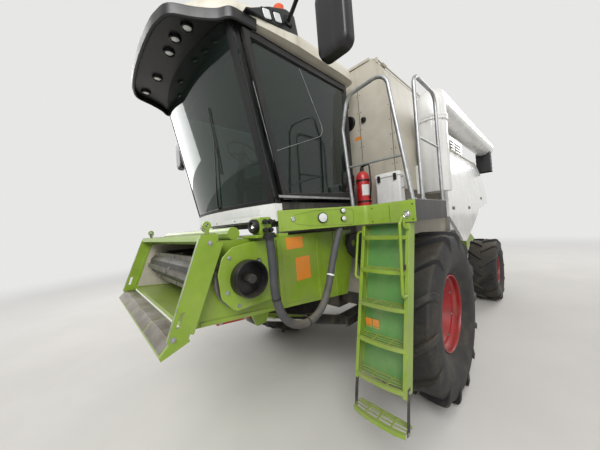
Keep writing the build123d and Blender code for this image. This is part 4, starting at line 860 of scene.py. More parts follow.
class HARVESTER_OT_ladder(Operator):
    """Builds the swinging ladder with its slotted treads and hung step"""
    bl_idname = "harvester.ladder"
    bl_label = "Ladder"

    def execute(self, context):
        self.frame()
        self.back()
        self.treads()
        self.hung_step()
        self.straps()
        self.label().make("ladder_plate", "beacon_orange", "ladder", bevel=0.001, material=label_finish())
        clip = Shape().lathe([(0.0125, -0.02), (0.019, -0.02), (0.020, 0.0), (0.019, 0.02), (0.0125, 0.02)],
                             (ladder_x(1.62) + 0.07, LADDER_LOOP_Y, 1.62), (-LADDER_SLOPE, 0, 1), 20)
        clip.make("ladder_clip", "black_plastic", "ladder")
        return {"FINISHED"}

    def frame(self):
        """Folded stiles, the arm to the pivot, and the grab rails on both sides."""
        side = [(0.0, 0.0), (0.0, 0.030), (0.006, 0.030), (0.006, 0.0065), (0.104, 0.0065), (0.104, 0.020),
                (0.110, 0.020), (0.110, 0.0)]
        parts = Shape()
        for y_at in (lambda t: LADDER_LEFT - t, lambda t: LADDER_RIGHT + t):
            parts.skin([[(ladder_x(z) - d, y_at(t), z) for d, t in side]
                        for z in (LADDER_BOTTOM, LADDER_TOP)])
        parts.box(LADDER_PIVOT[0], ladder_x(LADDER_TOP) - LADDER_DEPTH + 0.004,
                  LADDER_PIVOT[1] - 0.038, LADDER_PIVOT[1] + 0.038, 1.856, 1.924)
        parts.lathe(rectangle(0.026, 0.045, 1.856, 1.938), (*LADDER_PIVOT, 0), UP, 32)
        self.rail(parts, ladder_x(1.890) - 0.020, LADDER_RIGHT)
        y = LADDER_LOOP_Y
        parts.tube(rounded([(ladder_x(1.900) - 0.02, y, 1.900), (1.103, y, 1.915), (1.115, y, 2.020),
                            (1.178, y, 1.950), (ladder_x(1.400) + 0.07, y, 1.400),
                            (ladder_x(1.400) - 0.01, y, 1.400)], 0.03), 0.012, 14)
        parts.make("ladder_frame", "chassis_green", "ladder", replaces="ladder", bevel=0.002)

    def back(self):
        """The sheet behind the treads, built in twelve flat bands."""
        sheet = Shape()
        rows = [LADDER_BOTTOM + (LADDER_TOP - LADDER_BOTTOM) * k / 12 for k in range(13)]
        for z0, z1 in zip(rows, rows[1:]):
            sheet.skin([[(ladder_x(z) - 0.104, LADDER_RIGHT + 0.0065, z),
                         (ladder_x(z) - 0.104, LADDER_LEFT - 0.0065, z),
                         (ladder_x(z) - 0.110, LADDER_LEFT - 0.0065, z),
                         (ladder_x(z) - 0.110, LADDER_RIGHT + 0.0065, z)] for z in (z0, z1)], caps=False)
        paint = finish("back_sheet_green", (0.115, 0.29, 0.075), (0.09, 0.24, 0.06), 0.36, dust=0.25)
        sheet.make("ladder_back", "chassis_green", "ladder", material=paint)

    def treads(self):
        """The steps between the stiles."""
        treads = Shape()
        for i in range(TREADS):
            z = FIRST_TREAD_Z - LADDER_PITCH * i
            self.tread(treads, ladder_x(z) - LADDER_DEPTH + 0.004, ladder_x(z) + 0.035, LADDER_RIGHT + 0.007,
                       LADDER_LEFT - 0.007, z, 3)
        treads.make("ladder_treads", "chassis_green", "ladder", bevel=0.0012)

    def hung_step(self):
        """The lowest step, which hangs free on its straps."""
        low = Shape()
        front = ladder_x(HUNG_STEP_Z)
        self.tread(low, front - LADDER_DEPTH, front + 0.035, LADDER_RIGHT + 0.003, LADDER_LEFT - 0.003,
                   HUNG_STEP_Z, 4)
        low.make("hung_step", "chassis_green", "ladder", replaces="ladder_bottom_step", bevel=0.0012)

    def straps(self):
        """Rubber straps that carry the hung step, and their bolts."""
        straps = Shape()
        for y in (LADDER_RIGHT - 0.004, LADDER_LEFT - 0.002):
            line = [(ladder_x(0.760) - 0.060, 0.760), (ladder_x(0.760) - 0.020, 0.760),
                    (ladder_x(0.60) - 0.019, 0.60), (ladder_x(HUNG_STEP_Z) - 0.020, 0.460),
                    (ladder_x(HUNG_STEP_Z) - 0.060, 0.460), (ladder_x(0.60) - 0.061, 0.60)]
            straps.prism(line, y, y + 0.006)
        straps.make("step_straps", "rubber", "ladder", bevel=0.0015)
        bolts = Shape()
        for y, out in ((LADDER_RIGHT - 0.004, -1), (LADDER_LEFT + 0.004, 1)):
            for z in (0.735, 0.475):
                bolts.bolt((ladder_x(z) - 0.040, y, z), (0, out, 0), 0.007)
        bolts.make("strap_bolts", "galvanised", "ladder")

    def rail(self, shape, x, y):
        """The grab rail on the ladder's right side."""
        low = ladder_x(1.480) - 0.020
        shape.tube(rounded([(x, y + 0.004, 1.890), (x, y - 0.055, 1.890), (low, y - 0.055, 1.480),
                            (low, y + 0.004, 1.480)], 0.03), 0.012, 14)

    def label(self):
        """Four small blank plates on the back sheet."""
        x = ladder_x(1.075) - 0.1035
        label = Shape()
        for y in (1.190, 1.258):
            for z in (1.010, 1.078):
                label.prism(rounded_box(y, y + 0.062, z, z + 0.062, 0.008), x, x + 0.002, axis="x")
        return label

    def tread(self, shape, back, nose, right, left, z, columns):
        """A tread with rows of slots and a bowed nose."""
        def nose_at(share):
            return nose - 0.004 - 0.026 * abs(2 * share - 1) ** 3

        us = [0.0]
        for c in range(columns):
            start = (c + 0.06) / columns
            us += [start, start + 0.88 / columns]
        us.append(1.0)
        vs = [0.0, 0.12, 0.30, 0.38, 0.56, 0.64, 0.82, 1.0]
        holes = [(2 * c + 1, r) for c in range(columns) for r in (1, 3, 5)]
        shape.grid(us, vs, lambda u, v, w: (back + v * (nose_at(u) - 0.004 - back),
                                            right + u * (left - right), z - w), 0.006, holes)
        line = [(nose_at(k / 16), right + (left - right) * k / 16) for k in range(17)]
        shape.moulding(line, [(0.0, z - 0.001), (0.0, z - 0.031), (-0.006, z - 0.031), (-0.006, z - 0.007),
                              (-0.008, z - 0.0005)])
        shape.box(back, back + 0.005, right, left, z - 0.031, z - 0.006)


# Handrails: the outer rails' y, and the radii of hoops and cross bars
RAIL_Y = 1.615
HOOP_RADIUS = 0.017
BAR_RADIUS = 0.010


class HARVESTER_OT_rails(Operator):
    """Bends the handrails and bolts their feet to the deck"""
    bl_idname = "harvester.rails"
    bl_label = "Handrails"

    def execute(self, context):
        rails = Shape()
        rails.tube(rounded([(0.975, 1.05, 2.131), (0.99, 1.01, 2.90), (0.995, 1.09, 3.19),
                            (0.995, 1.48, 3.23), (0.98, RAIL_Y, 2.131)], 0.12, 8), HOOP_RADIUS, 18)
        rails.tube([(0.982, 1.032, 2.520), (0.986, 1.590, 2.500)], BAR_RADIUS, 12)
        rails.tube(rounded([(0.76, RAIL_Y, 2.131), (0.76, RAIL_Y, 3.23), (0.20, RAIL_Y, 3.23),
                            (0.20, RAIL_Y, 2.131)], 0.10, 8), HOOP_RADIUS, 18)
        rails.tube([(0.76, RAIL_Y, 2.68), (0.20, RAIL_Y, 2.68)], BAR_RADIUS, 12)
        rails.make("rail_tubes", "galvanised", replaces="handrails")
        feet = Shape()
        for x, y in ((0.975, 1.05), (0.965, 1.605), (0.76, 1.605), (0.21, 1.605)):
            plate = rounded_box(x - 0.034, x + 0.024, y - 0.034, y + 0.032, 0.012)
            feet.prism(plate, 2.1305, 2.1385, axis="z")
            for dx, dy in ((-0.024, -0.024), (-0.024, 0.022)):
                feet.bolt((x + dx, y + dy, 2.138), UP, 0.006, washer=False)
        feet.make("rail_feet", "galvanised", bevel=0.001)
        return {"FINISHED"}


# Roof: x and half width, x and crown height
ROOF_WIDTH = [(0.56, 0.865), (0.575, 0.90), (0.62, 0.930), (0.75, 0.940), (1.50, 0.940), (1.85, 0.905),
              (2.00, 0.865), (2.12, 0.800), (2.24, 0.700), (2.33, 0.575), (2.38, 0.440), (2.40, 0.30)]
ROOF_CROWN = [(0.56, 3.735), (0.58, 3.775), (0.63, 3.810), (0.72, 3.829), (0.90, 3.830), (1.85, 3.829),
              (2.10, 3.800), (2.29, 3.735), (2.38, 3.665), (2.40, 3.630)]
# share of the half width, share of the height
ROOF_SECTION = [(1.0, 0.0), (1.003, 0.14), (1.0, 0.27), (0.985, 0.42), (0.955, 0.55), (0.90, 0.67),
                (0.81, 0.77), (0.68, 0.85), (0.53, 0.905), (0.35, 0.955), (0.17, 0.988), (0.0, 1.0)]
VISOR_UNDER = 3.560
VISOR_HALF = [(1.850, 0.900), (1.960, 0.896), (2.060, 0.880), (2.130, 0.800), (2.250, 0.720), (2.400, 0.640),
              (2.450, 0.520), (2.472, 0.400), (2.486, 0.200), (2.490, 0.0)]


class HARVESTER_OT_roof(Operator):
    """Moulds the roof shell, its visor, the lamp pods, the mirrors and the beacon"""
    bl_idname = "harvester.roof"
    bl_label = "Roof"

    def execute(self, context):
        self.shell()
        self.visor()
        self.pods()
        self.mirrors()
        self.beacon()
        return {"FINISHED"}

    def shell(self):
        """The roof's crowned shell and its hatch."""
        stations = [0.56, 0.565, 0.575, 0.60, 0.64, 0.70, 0.80, 1.10, 1.45, 1.70, 1.8495, 1.8500, 1.93, 2.00,
                    2.07, 2.14, 2.20, 2.26, 2.31, 2.35, 2.38, 2.393, 2.40]
        rings = []
        for x in stations:
            floor = 3.560 if x < 1.85 else 3.600
            width, height = between(ROOF_WIDTH, x), between(ROOF_CROWN, x) - floor
            half = [(width * a / 1.003, floor + height * b) for a, b in ROOF_SECTION]
            rings.append([(x, y, z) for y, z in half] + [(x, -y, z) for y, z in reversed(half[:-1])])
        Shape().skin(rings).make("roof_moulding", "roof_shell", replaces="cab_roof", bevel=0.004)
        hatch = Shape()
        for inset, z0, z1 in ((0.0, 3.800, 3.8295), (0.05, 3.826, 3.8298)):
            outline = rounded_box(0.86 + inset, 1.46 - inset, -0.34 + inset, 0.34 - inset, 0.07)
            hatch.prism(outline, z0, z1, axis="z")
        hatch.make("roof_hatch", "roof_shell", bevel=0.003)

    def visor(self):
        """The dark visor over the windscreen and the lamps set into it."""
        edge = smooth_line([(x, -y) for x, y in VISOR_HALF] + list(reversed(VISOR_HALF[:-1])), 4)
        panel = Shape().prism([(x - 0.012 * (x > 1.86), y * 0.985) for x, y in edge], 3.562, 3.5995, axis="z")
        panel.moulding(edge, [(0.0, 3.594), (-0.004, 3.5995), (-0.03, 3.5995), (-0.03, 3.530),
                              (-0.022, 3.514), (-0.010, 3.511), (0.0, 3.520)])
        panel.make("visor_moulding", "black_plastic", replaces="roof_visor", bevel=0.002)
        lamps = Shape()
        cups = Shape()
        for x, y in ((2.289, 0.396), (2.287, 0.212), (2.327, -0.54), (2.287, -0.212), (2.250, 0.56)):
            lamps.lathe([(0.0, -0.016), (0.022, -0.014), (0.033, -0.009), (0.036, -0.004), (0.036, 0.0),
                         (0.0, 0.0)], (x, y, VISOR_UNDER), UP, 32)
            cups.lathe([(0.035, -0.020), (0.044, -0.018), (0.048, 0.003), (0.035, 0.003)],
                       (x, y, VISOR_UNDER), UP, 32)
        lamps.make("visor_lamps", "lamp_clear")
        cups.make("visor_lamp_rings", "black_plastic")

    def pods(self):
        """A lamp pod on each side of the roof, with two square lamps."""
        side = [(1.990, 3.602), (1.904, 3.640), (1.740, 3.745), (1.560, 3.829), (1.460, 3.829),
                (1.420, 3.640)]
        pods, lenses, frames = Shape(), Shape(), Shape()
        for out in OUTWARD:
            pods.prism(flat_rounded(side, 0.03), out * 0.705, out * 0.928)
            for x, z in ((1.765, 3.668), (1.655, 3.700)):
                for shape, half, low, high in ((frames, 0.047, 0.0, 0.006), (lenses, 0.037, 0.002, 0.010)):
                    outline = rounded_box(-half, half, -half, half, 0.014)
                    tilted = [(x + 0.95 * a + 0.31 * b, z - 0.31 * a + 0.95 * b) for a, b in outline]
                    shape.prism(tilted, out * (0.922 + low), out * (0.922 + high))
        pods.make("lamp_pods", "black_plastic", bevel=0.014, segments=3)
        frames.make("pod_lamp_frames", "black_plastic", bevel=0.002)
        lenses.make("pod_lamps", "lamp_clear", bevel=0.004)

    def mirrors(self):
        """Both mirrors on their bent arms, with the arms' foot plates."""
        cases, glass, arms, feet = Shape(), Shape(), Shape(), Shape()
        outline = rounded_box(1.400, 1.630, 3.010, 3.450, 0.055)
        inner = rounded_box(1.416, 1.614, 3.026, 3.434, 0.045)
        middle = (1.515, 3.230)
        for out in OUTWARD:
            rings = []
            for x, scale in ((1.690, 1.0), (1.735, 0.995), (1.757, 0.95), (1.768, 0.86), (1.770, 0.70)):
                rings.append([(x, out * (middle[0] + (y - middle[0]) * scale),
                               middle[1] + (z - middle[1]) * scale) for y, z in outline])
            cases.skin(rings)
            glass.prism([(out * y, z) for y, z in inner], 1.688, 1.693, axis="x")
            arms.tube(rounded([(1.540, out * 0.934, 3.730), (1.640, out * 1.25, 3.790),
                               (1.730, out * 1.515, 3.770), (1.730, out * 1.515, 3.445)], 0.07), 0.017, 16)
            feet.prism(rounded_box(1.500, 1.580, 3.690, 3.770, 0.014), out * 0.9285, out * 0.9400)
            for x, z in ((1.514, 3.704), (1.566, 3.704), (1.514, 3.756), (1.566, 3.756)):
                feet.bolt((x, out * 0.9395, z), (0, out, 0), 0.006, washer=False)
            feet.lathe(rectangle(0.018, 0.026, -0.02, 0.02), (1.730, out * 1.515, 3.475), UP, 20)
        cases.make("mirror_cases", "black_plastic", replaces="mirrors", bevel=0.003)
        glass.make("mirror_glass", "rod_chrome")
        arms.make("mirror_arms", "black_plastic")
        feet.make("mirror_feet", "black_plastic", bevel=0.001)

    def beacon(self):
        """The warning beacon: its base and its ribbed lens."""
        at = (1.510, 0.790, 3.830)
        base = Shape().lathe([(0.0, 0.0003), (0.060, 0.0003), (0.060, 0.030), (0.056, 0.040), (0.0, 0.040)],
                             at, UP, 32)
        base.make("beacon_base", "black_plastic")
        ribbed = []
        for k in range(9):
            z = 0.040 + 0.088 * k / 8
            ribbed += [(0.052, z), (0.050, z + 0.005)]
        lens = Shape().lathe([(0.0, 0.040), *ribbed, (0.048, 0.136), (0.036, 0.147), (0.018, 0.150),
                              (0.0, 0.150)], at, UP, 36)
        lens.make("beacon_lens", "beacon_orange", replaces="beacon")


# Fascia: its plan line, and places on its slanted face by distance along it and height
FASCIA_FRONT = 1.014
FASCIA_LINE = [(1.752, 0.850), (1.405, 1.020), (1.205, 1.120), (FASCIA_FRONT, 1.205), (FASCIA_FRONT, 1.640)]
FASCIA_LOW = 1.955
FASCIA_TOP = 2.130
FACE_ALONG = Vector((0.8967, -0.4426, 0.0))
FACE_OUT = Vector((0.4426, 0.8967, 0.0))


def on_fascia(along, z, out=0.0):
    """A point on the slanted face, or off it by out."""
    return Vector((1.205, 1.120, z)) + FACE_ALONG * along + FACE_OUT * out


class HARVESTER_OT_fascia(Operator):
    """Bends the fascia beside the cab and sets its lamps, lock and latch"""
    bl_idname = "harvester.fascia"
    bl_label = "Fascia"

    def execute(self, context):
        line = [(p.x, p.y) for p in rounded([(x, y, 0.0) for x, y in FASCIA_LINE], 0.05, 6)]
        fascia = Shape().moulding(
            line, [(0.0, FASCIA_LOW), (0.0, 2.114), (-0.003, 2.124), (-0.009, FASCIA_TOP),
                   (-0.018, FASCIA_TOP), (-0.018, 2.114), (-0.012, 2.104), (-0.012, FASCIA_LOW)])
        fascia.prism([(1.0003, 0.842), (1.738, 0.842), (1.395, 1.010), (1.195, 1.110), (1.0003, 1.196)],
                     2.1145, 2.1295, axis="z")
        plate = flat_rounded([(1.165, 1.000), (1.270, 1.000), (1.270, 1.075), (1.225, 1.098), (1.165, 1.115)],
                             0.012)
        fascia.prism(plate, 1.959, 1.971, axis="z")
        fascia.make("fascia_panel", "chassis_green", replaces="front_fascia", bevel=0.0015, segments=2)
        gland = Shape().lathe([(0.0305, 0.0), (0.037, 0.0), (0.039, 0.004), (0.039, 0.026), (0.036, 0.030),
                               (0.0, 0.030), (0.0, 0.001), (0.0305, 0.001)], (1.225, HOSE_Y, 1.940),
                              (-0.521, 0, 0.853), 28)
        gland.make("hose_gland", "black_plastic")
        self.lamps()
        self.trim()
        return {"FINISHED"}

    def lamps(self):
        """The round lamps of the fascia and the tail lamps."""
        glass, rings = Shape(), Shape()
        for along, z, radius in ((0.223, 2.045, 0.045), (0.027, 2.095, 0.024), (0.027, 2.025, 0.024)):
            at = on_fascia(along, z)
            glass.lathe([(0.0, 0.0005), (radius - 0.004, 0.0005), (radius - 0.005, 0.012),
                         (radius * 0.8, 0.020), (radius * 0.45, 0.0245), (0.0, 0.026)], at, FACE_OUT, 36)
            rings.lathe([(radius - 0.005, 0.0005), (radius, 0.0005), (radius, 0.010), (radius - 0.003, 0.016),
                         (radius - 0.006, 0.014)], at, FACE_OUT, 36)
        for out in OUTWARD:
            for z0, z1 in ((1.905, 1.995), (2.005, 2.095)):
                outline = rounded_box(out * 0.706, out * 0.824, z0, z1, 0.018)
                glass.prism(outline, -4.989, -4.955, axis="x")
            rings.prism(rounded_box(out * 0.700, out * 0.830, 1.900, 2.100, 0.02), -4.968, -4.9503, axis="x")
        glass.make("lamp_lenses", "lamp_clear", replaces="lamps", bevel=0.001)
        rings.make("lamp_rings", "black_plastic", bevel=0.001)

    def trim(self):
        """The fascia's pressed line, lock, latch, seams and rivets."""
        press = Shape()
        corners = ((-0.075, 1.970), (-0.085, 2.108), (0.290, 2.112), (0.505, 2.080), (0.470, 2.012),
                   (0.320, 1.985))
        outline = rounded([on_fascia(along, z) for along, z in corners], 0.035, loop=True)
        press.tube(outline, 0.0028, 8, loop=True)
        press.make("fascia_pressing", "chassis_green")
        bright = Shape()
        for at, axis in ((on_fascia(0.486, 2.052), FACE_OUT),
                         (Vector((FASCIA_FRONT, 1.575, 2.018)), Vector(AHEAD))):
            bright.lathe([(0.0, 0.0), (0.020, 0.0), (0.020, 0.006), (0.016, 0.009), (0.012, 0.005),
                          (0.0, 0.005)], at, axis, 28)
        side = [Vector((1.0185, 1.575 + 0.030 * cos(a), 2.018 + 0.030 * sin(a))) for a in turns(28)]
        bright.tube(side, 0.0030, 8, loop=True)
        bright.make("fascia_latch", "rod_chrome")
        seam = Shape().box(1.0142, 1.0156, 1.2195, 1.2225, 1.957, 2.110)
        seam.box(1.0142, 1.0156, 1.430, 1.4325, 1.957, 2.110)
        for y, z in ((1.27, 1.975), (1.27, 2.095), (1.62, 1.975), (1.62, 2.095)):
            seam.lathe([(0.0, 0.0), (0.006, 0.0), (0.005, 0.003), (0.0, 0.0035)],
                       (FASCIA_FRONT, y, z), AHEAD, 14)
        seam.make("fascia_seams", "black_plastic", smooth=False)


# Feeder: places on its left side are x and z
GUARD = [(2.316, 1.722), (2.281, 1.828), (2.208, 1.886), (2.088, 1.905), (1.881, 1.915), (1.881, 1.473),
         (2.216, 1.466), (2.303, 1.568)]
SHAFT = (2.115, 0.0, 1.668)
SHAFT_SPLINES = 20
# pins that hold the guard off the feeder's side, and the turns of the studs behind the shaft
GUARD_PINS = ((1.918, 1.508), (1.918, 1.868), (2.188, 1.498))
GUARD_FACE = 0.925
STUD_TURNS = (135, 165, 195, 225)
STUD_RADIUS = 0.140
FRAME_SIDE = 0.925
FEEDER_SIDE = 0.850
FEEDER_FLOOR = ((0.900, 1.235), (2.505, 1.425))


def feeder_floor(x):
    """Height of the feeder's underside."""
    (x0, z0), (x1, z1) = FEEDER_FLOOR
    return z0 + (x - x0) * (z1 - z0) / (x1 - x0)


class HARVESTER_OT_feeder(Operator):
    """Fits the feeder's drive guard, pulley, front frame trim with its painted edge highlights, labels and
    coupler
    """
    bl_idname = "harvester.feeder"
    bl_label = "Feeder"

    def execute(self, context):
        self.guard()
        self.frame_trim()
        self.throat()
        self.coupler()
        self.labels()
        self.strut()
        return {"FINISHED"}

    def guard(self):
        """The drive guard with its cup, studs and bolts, and the pulley and shaft behind it."""
        guard = Shape().prism(flat_rounded(GUARD, 0.055), 0.913, GUARD_FACE)
        for x, z in GUARD_PINS:
            guard.lathe(rectangle(0.0, 0.018, 0.8503, 0.914), (x, 0, z), LEFT, 18)
        guard.make("drive_guard", "chassis_green", "feeder", replaces="feeder_drive_guard", bevel=0.004)
        cup = Shape().lathe([(0.113, 0.9255), (0.125, 0.9255), (0.125, 0.994), (0.122, 1.000), (0.115, 1.000),
                             (0.113, 0.996)], SHAFT, LEFT, 48)
        cup.lathe(rectangle(0.0302, 0.113, 0.9255, 0.928), SHAFT, LEFT, 48)
        studs = [(SHAFT[0] + STUD_RADIUS * cos(a), SHAFT[2] + STUD_RADIUS * sin(a))
                 for a in (radians(turn) for turn in STUD_TURNS)]
        for x, z in studs:
            cup.lathe(rectangle(0.0, 0.020, 0.9255, 0.934), (x, 0, z), LEFT, 18)
        cup.make("shaft_cup", "black_plastic", "feeder", bevel=0.001)
        bolts = Shape()
        for x, z in studs:
            bolts.bolt((x, 0.934, z), LEFT, 0.008)
        for x, z in (*GUARD_PINS, (2.235, 1.820), (2.262, 1.600)):
            bolts.bolt((x, GUARD_FACE, z), LEFT, 0.008)
        bolts.make("guard_bolts", "galvanised", "feeder")
        grooves = [(0.036, 0.8625)]
        for k in range(4):
            y = 0.8625 + 0.0089 * k
            grooves += [(0.212, y), (0.212, y + 0.003), (0.200, y + 0.0058)]
        grooves += [(0.212, 0.896), (0.212, 0.8980), (0.185, 0.8980), (0.178, 0.886), (0.080, 0.886),
                    (0.070, 0.898), (0.036, 0.898)]
        pulley = Shape().lathe(grooves, SHAFT, LEFT, 64)
        pulley.lathe(rectangle(0.0, 0.038, 0.8505, 0.924), SHAFT, LEFT, 32)
        pulley.make("drive_pulley", "steel", "feeder")
        teeth = []
        for k in range(SHAFT_SPLINES):
            for r, share in ((0.0262, -0.30), (0.030, -0.18), (0.030, 0.18), (0.0262, 0.30)):
                a = 2 * pi * (k + share) / SHAFT_SPLINES
                teeth.append((SHAFT[0] + r * cos(a), SHAFT[2] + r * sin(a)))
        shaft = Shape().prism(teeth, 0.924, 0.999)
        shaft.make("header_shaft", "steel", "feeder", bevel=0.0006, material=slot_finish("frame_grey"))

    def frame_trim(self):
        """Worn wear strips, hook bolts, and painted highlights as bright lines along the edges of the frame
        that the header hangs on.
        """
        worn = Shape()
        top = rectangle(2.300, 2.398, 1.9852, 1.9880)
        for y0, y1 in ((-0.905, -0.310), (-0.290, 0.290), (0.310, 0.905)):
            worn.prism(top, y0, y1)
        worn.make("frame_wear_strip", "steel", "feeder", bevel=0.001)
        bolts = Shape()
        for out in OUTWARD:
            for x, z in ((2.350, 1.930), (2.590, 1.430)):
                bolts.bolt((x, out * FRAME_SIDE, z), (0, out, 0), 0.009)
            # eye bolt in the hook plate
            ring = [Vector((2.329 + 0.020 * cos(a), out * 0.812, 2.022 + 0.020 * sin(a))) for a in turns(24)]
            bolts.tube(ring, 0.0045, 10, loop=True)
        bolts.make("frame_bolts", "galvanised", "feeder")
        # painted highlight: bright tubes along the side plates' front edges stand in for light catching those
        # edges
        edge = Shape()
        for out in OUTWARD:
            line = [(2.412, 1.962), (2.620, 1.425), (2.600, 1.395)]
            edge.tube([(x, out * FRAME_SIDE - out * 0.004, z) for x, z in line], 0.0035, 8)
        edge.make("frame_edge_highlights", "galvanised", "feeder")

    def throat(self):
        """Liner plates and feeder slats that show in the mouth."""
        liner = Shape()
        for out in OUTWARD:
            line = [(1.500, 1.340), (2.500, 1.458), (2.325, 1.905), (1.500, 1.893)]
            liner.prism(line, out * 0.8295, out * 0.8255)
        liner.make("throat_liners", "tank_grey", "feeder")
        slats = Shape()
        for z, x in ((1.800, 2.300), (1.680, 2.378), (1.560, 2.300)):
            for k in range(2):
                y0 = -0.79 + 0.80 * k
                slats.box(x - 0.014, x + 0.014, y0, y0 + 0.78, z - 0.020, z + 0.020)
            for y in (-0.56, 0.0, 0.56):
                slats.bolt((x + 0.014, y, z), AHEAD, 0.007)
        slats.make("chain_slats", "steel", "feeder", bevel=0.003)
        lip = Shape()
        for y0, y1 in ((-0.90, -0.46), (-0.44, -0.01), (0.01, 0.44), (0.46, 0.90)):
            lip.prism([(2.515, 1.4140), (2.6005, 1.4222), (2.6575, 1.3672), (2.6560, 1.3655),
                       (2.5995, 1.4200), (2.515, 1.4120)], y0, y1)
        lip.make("lip_wear_plates", "steel", "feeder", bevel=0.0008)

    def coupler(self):
        """The multicoupler: its bracket, block, four small couplings, a large one and the lever."""
        body = Shape().prism([(1.880, 1.9265), (2.050, 1.9300), (2.050, 1.950), (1.880, 1.950)], 0.790, 0.990)
        body.prism([(1.880, 1.9265), (1.955, 1.9280), (1.955, 1.950), (1.880, 1.950)], 0.989, 1.112)
        body.make("coupler_bracket", "chassis_green", "feeder", replaces="multicoupler", bevel=0.003)
        ring = Shape().lathe([(0.031, -0.004), (0.046, -0.004), (0.046, 0.016), (0.039, 0.018),
                              (0.039, 0.030), (0.0, 0.030), (0.0, 0.001), (0.031, 0.001)],
                             (2.004, HOSE_Y, 1.930), (0.074, 0, 0.997), 30)
        ring.make("coupler_gland", "black_plastic", "feeder")
        block = Shape().prism(rounded_box(1.890, 1.990, 1.949, 2.075, 0.012), 0.830, 0.940)
        block.make("coupler_block", "chassis_green", "feeder", bevel=0.004)
        black, bright = Shape(), Shape()
        for x in (1.917, 1.963):
            for z in (1.980, 2.040):
                bright.lathe(rectangle(0.0, 0.019, 0.0, 0.014), (x, 0.940, z), LEFT, 6)
                black.lathe([(0.0, 0.013), (0.017, 0.013), (0.0185, 0.017), (0.0185, 0.034), (0.015, 0.042),
                             (0.0, 0.042)], (x, 0.940, z), LEFT, 24)
        # the large round coupling at the front
        black.lathe([(0.030, 0.0), (0.050, 0.0), (0.052, 0.006), (0.052, 0.030), (0.046, 0.040),
                     (0.034, 0.040), (0.030, 0.034)], (1.990, 0.885, 2.012), AHEAD, 40)
        bright.lathe([(0.0, 0.0), (0.030, 0.0), (0.029, 0.022), (0.018, 0.028), (0.010, 0.018), (0.0, 0.018)],
                     (1.990, 0.885, 2.012), AHEAD, 30)
        black.make("coupler_caps", "black_plastic", "feeder")
        bright.make("coupler_bodies", "rod_chrome", "feeder", bevel=0.0008)
        lever = Shape().tube(rounded([(1.940, 0.826, 2.030), (1.940, 0.815, 2.068), (1.860, 0.815, 2.072),
                                      (1.800, 0.815, 2.040)], 0.02), 0.007, 12)
        lever.make("coupler_lever", "galvanised", "feeder")

    def labels(self):
        """Blank plates on the feeder's side."""
        plates = Shape()
        for x0, x1, z0, z1 in ((1.500, 1.690, 1.800, 1.900), (1.430, 1.600, 1.520, 1.720)):
            plates.prism(rounded_box(x0, x1, z0, z1, 0.008), FEEDER_SIDE, FEEDER_SIDE + 0.0015)
        plates.make("feeder_plates", "beacon_orange", "feeder", material=label_finish())
        bars = Shape()
        # stiffening ribs of the side sheet, with their bolts
        for x in (1.050, 1.300, 1.760):
            bars.prism([(x, feeder_floor(x) + 0.02), (x + 0.035, feeder_floor(x) + 0.022), (x + 0.035, 1.900),
                        (x, 1.900)], FEEDER_SIDE, FEEDER_SIDE + 0.012)
        bars.prism([(1.00, feeder_floor(1.00) + 0.002), (2.42, feeder_floor(2.42) + 0.002),
                    (2.42, feeder_floor(2.42) + 0.030), (1.00, feeder_floor(1.00) + 0.030)], FEEDER_SIDE,
                   FEEDER_SIDE + 0.008)
        bars.make("feeder_ribs", "chassis_green", "feeder", bevel=0.002)

    def strut(self):
        """The red safety strut in its two holders under the feeder."""
        strut = Shape()
        line = [(1.980, feeder_floor(1.980) - 0.075), (2.250, feeder_floor(2.250) - 0.075),
                (2.250, feeder_floor(2.250) - 0.040), (1.980, feeder_floor(1.980) - 0.040)]
        strut.prism(flat_rounded(line, 0.010), 0.640, 0.680)
        for x0 in (2.000, 2.200):
            strut.prism([(x0, feeder_floor(x0) - 0.060), (x0 + 0.040, feeder_floor(x0 + 0.040) - 0.060),
                         (x0 + 0.040, feeder_floor(x0 + 0.040) - 0.0003), (x0, feeder_floor(x0) - 0.0003)],
                        0.645, 0.675)
        strut.make("strut_bar", "safety_red", "feeder", replaces="safety_strut", bevel=0.003)
        pins = Shape()
        for x in (2.020, 2.220):
            pins.bolt((x, 0.680, feeder_floor(x) - 0.056), LEFT, 0.010)
        pins.make("strut_pins", "galvanised", "feeder")


